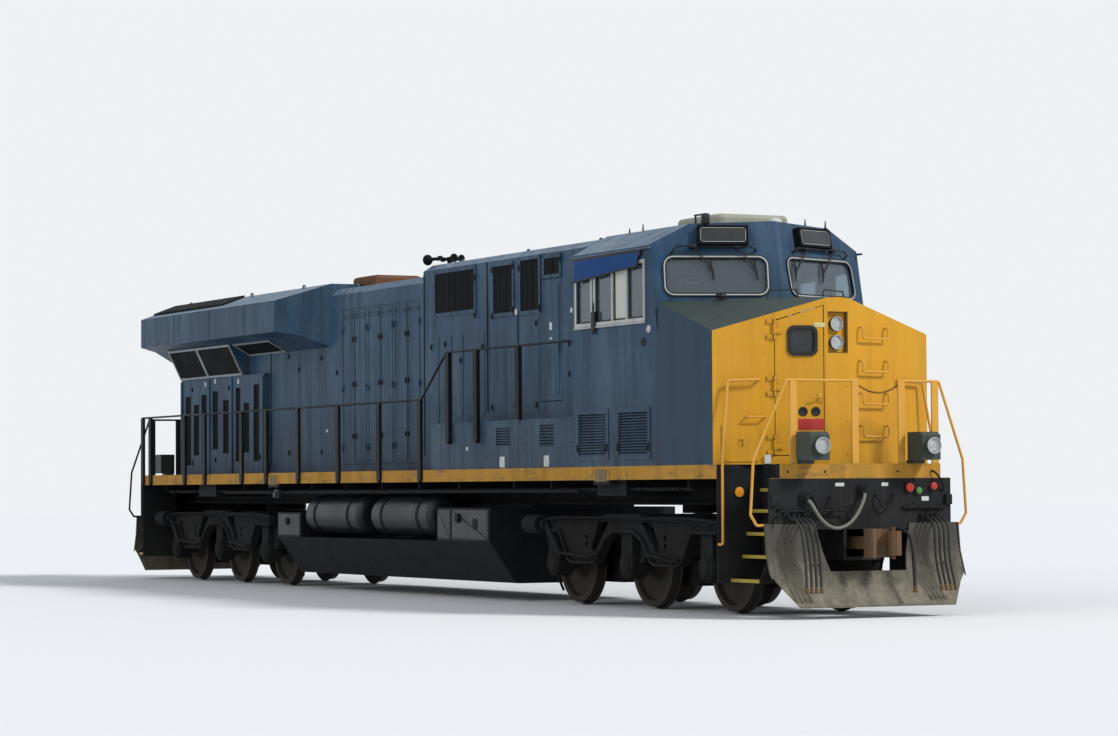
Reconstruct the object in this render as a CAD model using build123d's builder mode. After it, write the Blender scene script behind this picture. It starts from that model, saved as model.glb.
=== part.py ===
from build123d import *
import math
import os

os.makedirs("parts", exist_ok=True)

# Frame: x runs forward, y to the left, z up from the lowest point of the wheel
# flanges. The origin is midway between the two trucks. All sizes are in mm.

# Running gear sizes
wheel_diameter = 1067
flange_depth = 28
flange_width = 32
wheel_width = 140
wheel_back = 676
axle_spacing = 2007
truck_centre = 7045
axle_radius = 95
journal_radius = 80
journal_end = 1130
bearing_gap = 6
rail_top = flange_depth
axle_height = rail_top + wheel_diameter / 2

# Underframe sizes
deck_top = 1782
deck_plate = 40
sill_height = 166
sill_web = 30
sill_flange = 100
cross_member_plate = 30
half_width = 1495
platform_end = 10630
end_sill_depth = 95
end_sill_half_width = 1100
end_plate_half_width = 1239
end_plate_thickness = 50
end_plate_bottom = 1023
well_rear = 9849
well_side = 900
beam_offset = 500
beam_flange = 260
beam_plate = 40
pivot_radius = 330
pivot_bottom = 1195
centre_beam_bottom = 1300
bolster_half_length = 380
bolster_bottom = 1420
cross_member_bottom = 1520
pad_length = 420
pad_depth = 110
pad_proud = 12
pad_bottom = 1560
sill_bottom = deck_top - sill_height
deck_underside = deck_top - deck_plate

# Coupler sizes
coupler_face = 11220
coupler_height = 861
coupler_pin = 9990
shank_half = 70
pocket_half_width = 210
pocket_wall = 40
pocket_half_height = 160
pocket_behind_pin = 280

# Cab and nose sizes
cab_wall = 60
cab_rear = 6223
cab_seam = 8467
cab_floor = 2530
cab_eave = 4458
cab_shoulder_y = 990
cab_shoulder = 4725
cab_roof_rise = 37
cab_crown = cab_shoulder + cab_roof_rise
front_lean = 0.22
ridge_x = 8815
ridge_z = 4262
side_front_x = 8345
side_front_z = 3880
nose_corner_x = 9771
nose_corner_z = 3350
nose_front_x = 10143
nose_front_half = 153
nose_front_z = 3742
nose_brow_z = 3752
nose_brow_x = 8438
nose_ridge_x = 8947
nose_ridge_z = 3821

# Hood sizes
hood_half = 931
hood_wall = 40
hood_eave = 4480
hood_shoulder_y = 860
hood_crown = 4575
engine_hood_rear = -2891
auxiliary_rear = 902
auxiliary_half = 1127
auxiliary_eave = 4610
auxiliary_shoulder_y = 980
auxiliary_crown = 4700
cabinet_top = 2419
cabinet_rear = 1891
cabinet_half = 1480

# Engine room doors: three pairs of leaves a side
door_count = 6
door_first_x = -2499
door_pitch = 480
door_bottom = 1900
door_top = 4240
door_gap = 6
door_post = 60
door_thickness = 34

# Radiator sizes
radiator_rear = -9212
radiator_box_front = -5439
radiator_box_half = 1029
radiator_box_top = 3389
wing_rear = -9849
wing_front = -3773
wing_root_front = engine_hood_rear
wing_half = 1529
wing_bottom = 3968
wing_edge_top = 4448
wing_crown = 4673
wing_screen_y = 1274
wing_screen_z = 3899
wing_screen_front = -6300

# Tank and reservoir sizes
tank_rear = -3900
tank_front = 3626
tank_half = 1421
tank_knuckle = 802
tank_bottom = 244
tank_bottom_half = 1029
tank_core_half = 780
reservoir_radius = 290
reservoir_length = 2060
reservoir_y = 1127
reservoir_z = 1140

# Handrail sizes
rail_radius = 16
rail_y = 1512
rail_low = 2762
rail_high = 3389
post_width = 110
post_depth = 40

# Step sizes
step_outer = (921, 1029, 1107, 1166, 1323)
step_height = (1498, 1253, 988, 724, 449)
step_depth = 260
step_plate = 36
well_wall = 20

sides = (-1, 1)
ends = (-1, 1)


def slab(x_low, x_high, y_low, y_high, z_low, z_high, mode=Mode.ADD):
    # One plate or bar between its six faces, in the part that is open
    middle = ((x_low + x_high) / 2, (y_low + y_high) / 2, (z_low + z_high) / 2)
    with Locations(middle):
        Box(x_high - x_low, abs(y_high - y_low), z_high - z_low, mode=mode)


def along_x(points, x_low, x_high, mode=Mode.ADD):
    # A profile in y and z carried from one x to another
    with BuildSketch(Plane.YZ.offset(x_low)) as profile:
        with BuildLine():
            Polyline(*points, close=True)
        make_face()
    extrude(profile.sketch, amount=x_high - x_low, mode=mode)


def along_y(points, y_low, y_high, mode=Mode.ADD):
    # A profile in x and z carried from one y to another
    with BuildSketch(Plane.XZ.offset(-y_low)) as profile:
        with BuildLine():
            Polyline(*points, close=True)
        make_face()
    extrude(profile.sketch, amount=-(y_high - y_low), mode=mode)


def along_z(points, z_low, z_high, mode=Mode.ADD):
    # A plan outline carried from one z to another
    with BuildSketch(Plane.XY.offset(z_low)) as profile:
        with BuildLine():
            Polyline(*points, close=True)
        make_face()
    extrude(profile.sketch, amount=z_high - z_low, mode=mode)


def mirrored(points):
    # The right half of a section and its reflection, in one loop
    return points + [(-y, z) for y, z in reversed(points) if y != 0]


def rod(start, finish, radius, mode=Mode.ADD):
    # A round bar between two points
    run = Vector(*finish) - Vector(*start)
    with BuildSketch(Plane(origin=start, z_dir=run)) as section:
        Circle(radius)
    extrude(section.sketch, amount=run.length, mode=mode)


def bent_rod(points, radius, bend):
    # A round bar through several points; bend is one radius or one for each corner
    with BuildLine() as route:
        FilletPolyline(*points, radius=bend)
    path = route.line
    with BuildSketch(Plane(origin=path @ 0, z_dir=path % 0)) as section:
        Circle(radius)
    sweep(section.sketch, path=path)


def save(part, name):
    part.label = name
    export_step(part, "parts/" + name + ".step")


# Underframe: deck, side sills, end sills, end plates and jacking pads
pocket_outer = pocket_half_width + pocket_wall
pad_places = (6992, -3880)
with BuildPart() as underframe:
    with BuildSketch(Plane.XY.offset(deck_underside)):
        Rectangle(2 * platform_end, 2 * half_width)
        notch_length = platform_end - end_sill_depth - well_rear
        notch_width = half_width - well_side
        for end in ends:
            for side in sides:
                middle_x = end * (well_rear + notch_length / 2)
                with Locations((middle_x, side * (well_side + notch_width / 2))):
                    Rectangle(notch_length, notch_width, mode=Mode.SUBTRACT)
                tip_x = end * (platform_end - end_sill_depth / 2)
                tip_width = half_width - end_sill_half_width
                with Locations((tip_x, side * (end_sill_half_width + tip_width / 2))):
                    Rectangle(end_sill_depth, tip_width, mode=Mode.SUBTRACT)
    extrude(amount=deck_plate)
    for side in sides:
        outer = side * half_width
        inner = side * (half_width - sill_web)
        slab(-well_rear, well_rear, min(outer, inner), max(outer, inner), sill_bottom, deck_underside)
        foot = side * (half_width - sill_flange)
        slab(-well_rear, well_rear, min(outer, foot), max(outer, foot), sill_bottom, sill_bottom + sill_web)
        for pad_x in pad_places:
            low, high = sorted((side * (half_width - pad_depth), side * (half_width + pad_proud)))
            slab(pad_x - pad_length / 2, pad_x + pad_length / 2, low, high, pad_bottom, deck_underside)
    for end in ends:
        low, high = sorted((end * (platform_end - end_sill_depth), end * platform_end))
        slab(low, high, -end_sill_half_width, end_sill_half_width, sill_bottom, deck_underside)
        low, high = sorted((end * (platform_end - end_plate_thickness), end * platform_end))
        slab(low, high, -end_plate_half_width, end_plate_half_width, end_plate_bottom, sill_bottom)
        slab(low, high, -pocket_outer, pocket_outer, end_plate_bottom, centre_beam_bottom, mode=Mode.SUBTRACT)
save(underframe.part, "underframe")

# Centre sills with the bolsters, the truck pivots and the draft gear pockets
beam_end = platform_end - end_sill_depth
with BuildPart() as centre_sills:
    for side in sides:
        beam = side * beam_offset
        slab(-beam_end, beam_end, beam - beam_plate / 2, beam + beam_plate / 2, centre_beam_bottom, deck_underside)
        slab(-beam_end, beam_end, beam - beam_flange / 2, beam + beam_flange / 2,
             centre_beam_bottom, centre_beam_bottom + beam_plate)
    for end in ends:
        centre = end * truck_centre
        bolster_half = half_width - pad_depth
        slab(centre - bolster_half_length, centre + bolster_half_length, -bolster_half, bolster_half,
             bolster_bottom, deck_underside)
        slab(centre - bolster_half_length, centre + bolster_half_length, -beam_offset, beam_offset,
             centre_beam_bottom, bolster_bottom)
        with BuildSketch(Plane.XY.offset(pivot_bottom)):
            with Locations((centre, 0)):
                Circle(pivot_radius)
        extrude(amount=centre_beam_bottom - pivot_bottom)
        # Draft gear pocket, open at its outer end
        low, high = sorted((end * (coupler_pin - pocket_behind_pin), end * platform_end))
        slab(low, high, -pocket_outer, pocket_outer, coupler_height - pocket_half_height - pocket_wall,
             centre_beam_bottom)
        low, high = sorted((end * (coupler_pin - pocket_behind_pin + 2 * pocket_wall), end * (platform_end + 10)))
        slab(low, high, -pocket_half_width, pocket_half_width,
             coupler_height - pocket_half_height, coupler_height + pocket_half_height, mode=Mode.SUBTRACT)
save(centre_sills.part, "centre_sills")

# Cross members between the sills
with BuildPart() as cross_members:
    beam_face = beam_offset - beam_plate / 2
    for x in (-9000, -5400, -4300, -2600, -1300, 0, 1300, 2600, 4300, 5400, 9000):
        low = x - cross_member_plate / 2
        high = x + cross_member_plate / 2
        slab(low, high, -beam_face, beam_face, centre_beam_bottom + beam_plate, deck_underside)
        for side in sides:
            a, b = sorted((side * (beam_face + beam_plate), side * (half_width - sill_flange)))
            slab(low, high, a, b, cross_member_bottom, deck_underside)
save(cross_members.part, "cross_members")

# Step wells: a back plate, an inner plate, a front plate and five treads each
well_bottom = 400
well_edge = 60
with BuildPart() as step_wells:
    front = platform_end - end_sill_depth
    for end in ends:
        for side in sides:
            low, high = sorted((end * well_rear, end * (well_rear + well_wall)))
            a, b = sorted((side * (well_side - well_wall), side * half_width))
            slab(low, high, a, b, well_bottom, deck_underside)
            low, high = sorted((end * well_rear, end * front))
            a, b = sorted((side * (well_side - well_wall), side * well_side))
            slab(low, high, a, b, well_bottom, deck_underside)
            for outer, height in zip(step_outer, step_height):
                inner = max(outer - step_depth, well_side - well_wall)
                a, b = sorted((side * inner, side * outer))
                slab(low, high, a, b, height - step_plate, height)
            # The front plate follows the treads' outer edges
            edge = [(outer, height) for outer, height in zip(step_outer, step_height)]
            points = [(well_side - well_wall, sill_bottom), (well_side - well_wall, well_bottom),
                      (step_outer[-1], well_bottom)]
            points = points + [(outer, height) for outer, height in reversed(edge)]
            points = points + [(step_outer[0], sill_bottom)]
            low, high = sorted((end * (front - well_wall), end * front))
            along_x([(side * y, z) for y, z in points], low, high)
save(step_wells.part, "step_wells")

# Fuel tank: a trough with rounded knuckles, raised side compartments, fillers and gauges
tank_round = 90
with BuildPart() as fuel_tank:
    with BuildSketch(Plane.YZ.offset(tank_rear)) as tank_section:
        with BuildLine():
            FilletPolyline((-tank_half, tank_knuckle), (-tank_bottom_half, tank_bottom),
                           (tank_bottom_half, tank_bottom), (tank_half, tank_knuckle), radius=tank_round)
            Line((tank_half, tank_knuckle), (-tank_half, tank_knuckle))
        make_face()
    extrude(tank_section.sketch, amount=tank_front - tank_rear)
    slab(tank_rear, tank_front, -tank_core_half, tank_core_half, tank_knuckle, centre_beam_bottom)
    # Side compartments: rear x, front x, top z
    for low, high, top in ((tank_rear, -2969, 1175), (1950, tank_front, 1258)):
        slab(low, high, -tank_half, tank_half, tank_knuckle, top)
    for side in sides:
        # Filler necks and round gauges: x, z, radius, how far they stand out
        for x, z, radius, proud in ((2700, 1120, 62, 60), (3200, 1040, 75, 25), (-3450, 1040, 55, 50)):
            rod((x, side * (tank_half - 20), z), (x, side * (tank_half + proud), z), radius)
save(fuel_tank.part, "fuel_tank")

# Main air reservoirs lying in the recesses of the tank
reservoir_dome = 110
with BuildPart() as air_reservoirs:
    for start in (-2870, -400):
        for side in sides:
            rod((start, side * reservoir_y, reservoir_z), (start + reservoir_length, side * reservoir_y, reservoir_z),
                reservoir_radius)
    fillet(air_reservoirs.edges().filter_by(GeomType.CIRCLE), radius=reservoir_dome)
    for start in (-2870, -400):
        for side in sides:
            for strap in (start + 380, start + reservoir_length - 440):
                rod((strap, side * reservoir_y, reservoir_z), (strap + 60, side * reservoir_y, reservoir_z),
                    reservoir_radius + 12)
                low, high = sorted((side * tank_core_half, side * reservoir_y))
                slab(strap, strap + 60, low, high, 1250, 1290)
save(air_reservoirs.part, "air_reservoirs")

# Pilot plows: a bent plate with cut corners and a notch for the coupler
plow_top = 1090
plow_bottom = 130
plow_half = 1328
plow_bottom_half = 1050
plow_plate = 24
# The plate's front face from top to bottom: distance past the platform's end, height
plow_profile = ((14, plow_top), (60, 760), (190, 400), (370, plow_bottom))


def plow_back(z):
    # How far past the platform's end the plow's back face is at one height
    for (out_high, high), (out_low, low) in zip(plow_profile, plow_profile[1:]):
        if low <= z <= high:
            return out_high + (high - z) / (high - low) * (out_low - out_high) - 0.5 * plow_plate
    return 0


with BuildPart() as pilot_plows:
    for end in ends:
        front = [(end * (platform_end + out), z) for out, z in plow_profile]
        back = [(end * (platform_end + out - plow_plate), z) for out, z in plow_profile]
        back[0] = (end * (platform_end + 2), plow_top)
        along_y(front + back[::-1], -plow_half, plow_half)
        low, high = sorted((end * (platform_end - 60), end * (platform_end + 420)))
        for side in sides:
            corner = [(side * plow_half, 520), (side * (plow_half + 10), 520), (side * (plow_half + 10), 100),
                      (side * plow_bottom_half, 100), (side * plow_bottom_half, plow_bottom)]
            along_x(corner, low, high, mode=Mode.SUBTRACT)
        along_x([(-650, plow_top + 10), (650, plow_top + 10), (520, 540), (-520, 540)], low, high, mode=Mode.SUBTRACT)
        for side in sides:
            for y in (700, 1020):
                points = [(end * (platform_end - 90), 1000), (end * (platform_end + plow_back(1000)), 1000),
                          (end * (platform_end + plow_back(760)), 760), (end * (platform_end + plow_back(400)), 400),
                          (end * (platform_end + plow_back(260)), 260), (end * (platform_end - 90), 640)]
                along_y(points, side * y - 12, side * y + 12)
                a, b = sorted((end * (platform_end - 90), end * (platform_end - 50)))
                slab(a, b, side * y - 12, side * y + 12, 900, 1200)
save(pilot_plows.part, "pilot_plows")


def nose_form(inset, floor_z, rear):
    # The nose block from rear forward, made smaller all round by inset
    with BuildPart() as form:
        with BuildSketch(Plane.XY.offset(floor_z)) as plan:
            with BuildLine():
                Polyline((rear, -half_width), (nose_corner_x, -half_width), (nose_front_x, -nose_front_half),
                         (nose_front_x, nose_front_half), (nose_corner_x, half_width), (rear, half_width),
                         close=True)
            make_face()
            if inset > 0:
                offset(amount=-inset, kind=Kind.INTERSECTION, mode=Mode.REPLACE)
        extrude(plan.sketch, amount=2400)
        for side in sides:
            brow = Vector(nose_brow_x, side * half_width, nose_brow_z)
            corner = Vector(nose_corner_x, side * half_width, nose_corner_z)
            peak = Vector(nose_front_x, side * nose_front_half, nose_front_z)
            ridge = Vector(nose_ridge_x, 0, nose_ridge_z)
            for a, b, c in ((brow, corner, peak), (brow, peak, ridge)):
                up = (b - a).cross(c - a).normalized()
                if up.Z < 0:
                    up = up * -1
                split(bisect_by=Plane(origin=a - up * inset, z_dir=up), keep=Keep.BOTTOM)
    return form.part


def cab_form(inset, floor_z):
    # The cab block above its floor, made smaller all round by inset
    with BuildPart() as form:
        section = [(half_width - inset, floor_z), (half_width - inset, cab_eave - inset * 0.8),
                   (cab_shoulder_y - inset * 0.5, cab_shoulder - inset), (0, cab_crown - inset)]
        along_x(mirrored(section), cab_rear + inset, cab_seam + 900)
        for side in sides:
            ridge = Vector(ridge_x, 0, ridge_z)
            edge = Vector(side_front_x, side * half_width, side_front_z)
            up = (edge - ridge).cross(Vector(-front_lean, 0, 1)).normalized()
            if up.X < 0:
                up = up * -1
            split(bisect_by=Plane(origin=ridge - up * inset, z_dir=up), keep=Keep.BOTTOM)
    return form.part


def windshield_plane(side):
    # Lies on one front panel of the cab, with x outward from the ridge and y upward
    ridge = Vector(ridge_x, 0, ridge_z)
    edge = Vector(side_front_x, side * half_width, side_front_z)
    up = (edge - ridge).cross(Vector(-front_lean, 0, 1)).normalized()
    if up.X < 0:
        up = up * -1
    level = Vector(0, 0, 1).cross(up).normalized()
    return Plane(origin=ridge, x_dir=level, z_dir=up)


# Windshield outline on its panel: outward from the ridge, up from the ridge point
windshield_inner = 170
windshield_outer = 1390
windshield_low = -398
windshield_high = 30
windshield_round = 90
# Side windows: rear x, front x, low z, high z
side_windows = ((6350, 6733, 3585, 4144), (6860, 8114, 3585, 4252))
glass_thickness = 12
frame_width = 45
frame_proud = 14


def windshield_outline(side, level, grow=0.0):
    # The rounded outline of one windshield on a plane off its panel
    width = windshield_outer - windshield_inner
    height = windshield_high - windshield_low
    with BuildSketch(windshield_plane(side).offset(level)) as outline:
        with Locations((side * (windshield_inner + width / 2), windshield_low + height / 2)):
            RectangleRounded(width + 2 * grow, height + 2 * grow, windshield_round + grow)
    return outline.sketch


outer_cab = cab_form(0, cab_floor)
inner_cab = cab_form(cab_wall, cab_floor - 10)
outer_nose = nose_form(0, deck_top, cab_seam)
inner_nose = nose_form(cab_wall, deck_top - 10, cab_seam - 400)
vestibule_half = 400
vestibule_top = 4300

# Cab shell: side walls, rear wall, roof and the leaning front panels
with BuildPart() as cab_shell:
    add(outer_cab)
    add(inner_cab, mode=Mode.SUBTRACT)
    add(outer_nose, mode=Mode.SUBTRACT)
    for low, high, bottom, top in side_windows:
        slab(low, high, -half_width - 50, half_width + 50, bottom, top, mode=Mode.SUBTRACT)
    slab(cab_rear - 50, cab_rear + cab_wall + 50, -vestibule_half, vestibule_half,
         cab_floor + 40, vestibule_top, mode=Mode.SUBTRACT)
    for side in sides:
        extrude(windshield_outline(side, 60), amount=-260, mode=Mode.SUBTRACT)
        # Rain strip over the side windows
        points = [(side * half_width, cab_eave - 20), (side * (half_width + 22), cab_eave - 34),
                  (side * (half_width + 22), cab_eave - 44), (side * half_width, cab_eave - 44)]
        along_x(points, cab_rear, cab_seam - 140)
save(cab_shell.part, "cab_shell")

# Window frames: raised rims round the side windows with their sliding posts, and windshield seals
with BuildPart() as window_frames:
    for side in sides:
        for low, high, bottom, top in side_windows:
            a, b = sorted((side * half_width, side * (half_width + frame_proud)))
            slab(low - frame_width, high + frame_width, a, b, bottom - frame_width, top + frame_width)
            slab(low, high, a - 5, b + 5, bottom, top, mode=Mode.SUBTRACT)
        low, high, bottom, top = side_windows[1]
        a, b = sorted((side * (half_width - 22), side * (half_width + frame_proud)))
        for x in (low + 0.36 * (high - low), low + 0.66 * (high - low)):
            slab(x - 22, x + 22, a, b, bottom, top)
        rim = windshield_outline(side, 0, frame_width) - windshield_outline(side, 0)
        extrude(rim, amount=frame_proud)
save(window_frames.part, "window_frames")

# Louvred openings: blades slope down and outward across a pocket
louvre_depth = 45
louvre_drop = 26
louvre_proud = 4


def louvres(side, face, low, high, bottom, top, count):
    back = side * (face - louvre_depth)
    front = side * (face + louvre_proud)
    a, b = sorted((back, side * (face + 20)))
    slab(low, high, a, b, bottom, top, mode=Mode.SUBTRACT)
    pitch = (top - bottom) / count
    with BuildSketch(Plane.YZ.offset(low)) as blades:
        for number in range(count):
            z = bottom + (number + 1) * pitch
            with BuildLine():
                Polyline((back, z), (front, z - louvre_drop), (front, z - louvre_drop - 6), (back, z - 8),
                         close=True)
            make_face()
    extrude(blades.sketch, amount=high - low)


# Cab base: the closed equipment space under the cab floor, with louvred doors
base_louvre_count = 15
# Louvred doors: rear x, front x
base_doors = ((6329, 7180), (7401, 8262))
base_door_bottom = 1860
base_door_top = cab_floor - 30
base_door_rim = 60
base_door_proud = 12
with BuildPart() as cab_base:
    slab(cab_rear, cab_seam, -half_width, half_width, deck_top, cab_floor)
    for side in sides:
        a, b = sorted((side * half_width, side * (half_width + base_door_proud)))
        for low, high in base_doors:
            slab(low, high, a, b, base_door_bottom, base_door_top)
            louvres(side, half_width, low + base_door_rim, high - base_door_rim, base_door_bottom + base_door_rim,
                    base_door_top - base_door_rim, base_louvre_count)
save(cab_base.part, "cab_base")

# Nose shell with the doorway in its right facet and the headlight recess
facet_run = Vector(nose_front_x - nose_corner_x, half_width - nose_front_half, 0)
facet_length = facet_run.length
facet_step = facet_run.normalized()
facet_out = Vector(facet_step.Y, -facet_step.X, 0)
facet_corner = Vector(nose_corner_x, -half_width, 0)
facet_plane = Plane(origin=facet_corner, x_dir=facet_step, z_dir=facet_out)
nose_door_near = 760
nose_door_far = 1350
nose_door_bottom = 1890
nose_door_top_near = 3464
nose_door_top_far = 3647
nose_door_gap = 10
nose_door_thickness = 45
nose_hinge_out = 18
nose_hinge_radius = 16
nose_hinge_z = (2011, 2700, 3369)
nose_window_s = 1093
nose_window_z = 3233
headlight_z = (3436, 3217)
headlight_radius = 85
recess_depth = 60


def nose_door_outline(grow):
    return [(nose_door_near - grow, nose_door_bottom - grow), (nose_door_far + grow, nose_door_bottom - grow),
            (nose_door_far + grow, nose_door_top_far + grow), (nose_door_near - grow, nose_door_top_near + grow)]


def facet_rod(s, out, z_low, z_high, radius):
    # An upright round bar beside the right facet, at s along it and out from it
    foot = facet_corner + facet_step * s + facet_out * out
    rod((foot.X, foot.Y, z_low), (foot.X, foot.Y, z_high), radius)


with BuildPart() as nose_shell:
    add(outer_nose)
    add(inner_nose, mode=Mode.SUBTRACT)
    slab(cab_seam - 600, cab_seam, -half_width - 5, half_width + 5, deck_top - 20, 4300, mode=Mode.SUBTRACT)
    with BuildSketch(facet_plane.offset(50)):
        with BuildLine():
            Polyline(*nose_door_outline(nose_door_gap), close=True)
        make_face()
    extrude(amount=-250, mode=Mode.SUBTRACT)
    # Headlight recess with its closed back
    slab(nose_front_x - recess_depth - 30, nose_front_x - 10, -nose_front_half + 5, nose_front_half - 5, 3075, 3595)
    slab(nose_front_x - recess_depth, nose_front_x + 10, -nose_front_half + 15, nose_front_half - 15,
         3090, 3580, mode=Mode.SUBTRACT)
    # Hinge brackets beside the door, and the raised hatch below the grab bar
    for z in nose_hinge_z:
        for step in (-115, 65):
            with BuildSketch(facet_plane):
                with Locations((nose_door_near - 60, z + step + 25)):
                    Rectangle(90, 50)
            extrude(amount=nose_hinge_out - 2)
            facet_rod(nose_door_near - 12, nose_hinge_out, z + step, z + step + 50, nose_hinge_radius)
    with BuildSketch(facet_plane):
        with Locations((333, 2028)):
            Rectangle(452, 424)
            Rectangle(60, 90, mode=Mode.SUBTRACT)
    extrude(amount=12)
save(nose_shell.part, "nose_shell")

# Nose door with its window and the three hinge barrels
with BuildPart() as nose_door:
    with BuildSketch(facet_plane):
        with BuildLine():
            Polyline(*nose_door_outline(0), close=True)
        make_face()
        with Locations((nose_window_s, nose_window_z)):
            RectangleRounded(300, 290, 60, mode=Mode.SUBTRACT)
    extrude(amount=-nose_door_thickness)
    with BuildSketch(facet_plane):
        with Locations((nose_window_s, nose_window_z)):
            RectangleRounded(360, 350, 80)
            RectangleRounded(300, 290, 60, mode=Mode.SUBTRACT)
    extrude(amount=14)
    with BuildSketch(facet_plane.offset(-16)):
        with Locations((nose_window_s, nose_window_z)):
            RectangleRounded(300, 290, 60)
    extrude(amount=-glass_thickness)
    for z in nose_hinge_z:
        with BuildSketch(facet_plane):
            with Locations((nose_door_near + 45, z)):
                Rectangle(86, 110)
        extrude(amount=nose_hinge_out - 2)
        facet_rod(nose_door_near - 12, nose_hinge_out, z - 58, z + 58, nose_hinge_radius)
        with BuildSketch(facet_plane.offset(8)):
            with Locations((nose_door_near, z)):
                Rectangle(24, 100)
        extrude(amount=8)
save(nose_door.part, "nose_door")

# Glass of the windshields and the side windows
with BuildPart() as cab_glass:
    for side in sides:
        extrude(windshield_outline(side, -20), amount=-glass_thickness)
        for low, high, bottom, top in side_windows:
            outer = half_width - 22
            a, b = sorted((side * (outer - glass_thickness), side * outer))
            slab(low, high, a, b, bottom, top)
save(cab_glass.part, "cab_glass")

# Seats on round posts, and the control desks below the windshields
seat_x = 7350
seat_y = 900
seat_half = 250
seat_height = 3080
desk_half = 350
with BuildPart() as cab_interior:
    for side in sides:
        y = side * seat_y
        with BuildSketch(Plane.XY.offset(seat_height - 130)):
            with Locations((seat_x, y)):
                RectangleRounded(2 * seat_half, 2 * seat_half, 60)
        extrude(amount=130)
        rod((seat_x, y, cab_floor), (seat_x, y, seat_height - 130), 60)
        along_y([(seat_x - 230, seat_height), (seat_x - 330, seat_height + 640), (seat_x - 250, seat_height + 640),
                 (seat_x - 130, seat_height)], y - seat_half + 30, y + seat_half - 30)
        along_y([(8000, cab_floor), (8000, 3180), (8060, 3300), (8340, 3390), (8350, 3340), (8350, cab_floor)],
                y - desk_half, y + desk_half)
save(cab_interior.part, "cab_interior")

# Number boards above the windshields, left blank: a hood round a plain face
board_middle = cab_shoulder - ridge_z - 153
board_out = 690
board_length = 620
board_height = 240
with BuildPart() as number_boards:
    for side in sides:
        with BuildSketch(windshield_plane(side)) as board:
            with Locations((side * board_out, board_middle)):
                Rectangle(board_length, board_height)
        extrude(board.sketch, amount=95)
        with BuildSketch(windshield_plane(side).offset(95)) as face:
            with Locations((side * board_out, board_middle)):
                RectangleRounded(board_length - 60, board_height - 60, 30)
        extrude(face.sketch, amount=-14, mode=Mode.SUBTRACT)
save(number_boards.part, "number_boards")

# Sun visors: slanting sheets over the side windows, closed at their ends
visor_out = 38
visor_top = cab_eave - 60
visor_drop = 150
with BuildPart() as visors:
    for side in sides:
        wall = side * half_width
        edge = side * (half_width + visor_out)
        along_x([(wall, visor_top), (edge, visor_top - visor_drop), (edge, visor_top - visor_drop - 14),
                 (edge - side * 8, visor_top - visor_drop - 14), (wall, visor_top - 30)], 6340, 8060)
save(visors.part, "visors")

# Auxiliary hood behind the cab, with the vestibule that its side doors open into
vestibule_rear = 3960
vestibule_wall = 50
side_door_rear = 4613
side_door_front = 5198
side_door_bottom = 2664
side_door_top = 4262
side_door_thickness = 40
side_door_gap = 10
side_hinge_in = 26
side_hinge_radius = 10
side_hinge_z = (2860, 3460, 4060)
side_hinge_y = auxiliary_half - side_door_thickness - side_hinge_in
screen_rim = 50
panel_proud = 6
# Auxiliary screens: rear x, front x, low z, high z
auxiliary_screens = ((1325, 2592, 3987, 4542), (3198, 3773, 3889, 4526), (4024, 4560, 3879, 4555),
                     (4733, 5165, 4320, 4536))
# Doors and panels of the auxiliary hood: rear x, front x, low z, high z
auxiliary_panels = ((960, 1420, 1900, 3660), (1460, 1830, 1900, 3660), (1930, 2210, 2500, 3660),
                    (2290, 2900, 2500, 3660), (3080, 3900, 2500, 3800), (3960, 4540, 2500, 3800))
with BuildPart() as auxiliary_hood:
    section = [(auxiliary_half, deck_top), (auxiliary_half, auxiliary_eave),
               (auxiliary_shoulder_y, auxiliary_crown)]
    along_x(mirrored(section), auxiliary_rear, cab_rear)
    slab(vestibule_rear, cab_rear + 10, -auxiliary_half + vestibule_wall, auxiliary_half - vestibule_wall,
         cab_floor + 40, vestibule_top, mode=Mode.SUBTRACT)
    slab(side_door_rear - side_door_gap, side_door_front + side_door_gap,
         -auxiliary_half - 10, auxiliary_half + 10,
         side_door_bottom - side_door_gap, side_door_top + side_door_gap, mode=Mode.SUBTRACT)
    for side in sides:
        face = side * auxiliary_half
        for low, high, bottom, top in auxiliary_panels:
            a, b = sorted((face, face + side * panel_proud))
            slab(low, high, a, b, bottom, top)
        for low, high, bottom, top in auxiliary_screens:
            a, b = sorted((face, face + side * 16))
            slab(low - screen_rim, high + screen_rim, a, b, bottom - screen_rim, top + screen_rim)
            slab(low, high, a - 20, b + 20, bottom, top, mode=Mode.SUBTRACT)
    # Hinge plates and barrels of the side doors, inside the wall
    barrels = [(side_door_rear, side * side_hinge_y, z + step) for side in sides for z in side_hinge_z
               for step in (-60, 60)]
    with Locations(*barrels):
        Cylinder(side_hinge_radius, 50)
    with Locations(*[(x - 30, y, z) for x, y, z in barrels]):
        Box(60, 10, 50)
    reach = auxiliary_half - vestibule_wall - side_hinge_y
    with Locations(*[(x - 38, y + math.copysign(reach / 2, y), z) for x, y, z in barrels]):
        Box(44, reach, 50)
save(auxiliary_hood.part, "auxiliary_hood")

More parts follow.
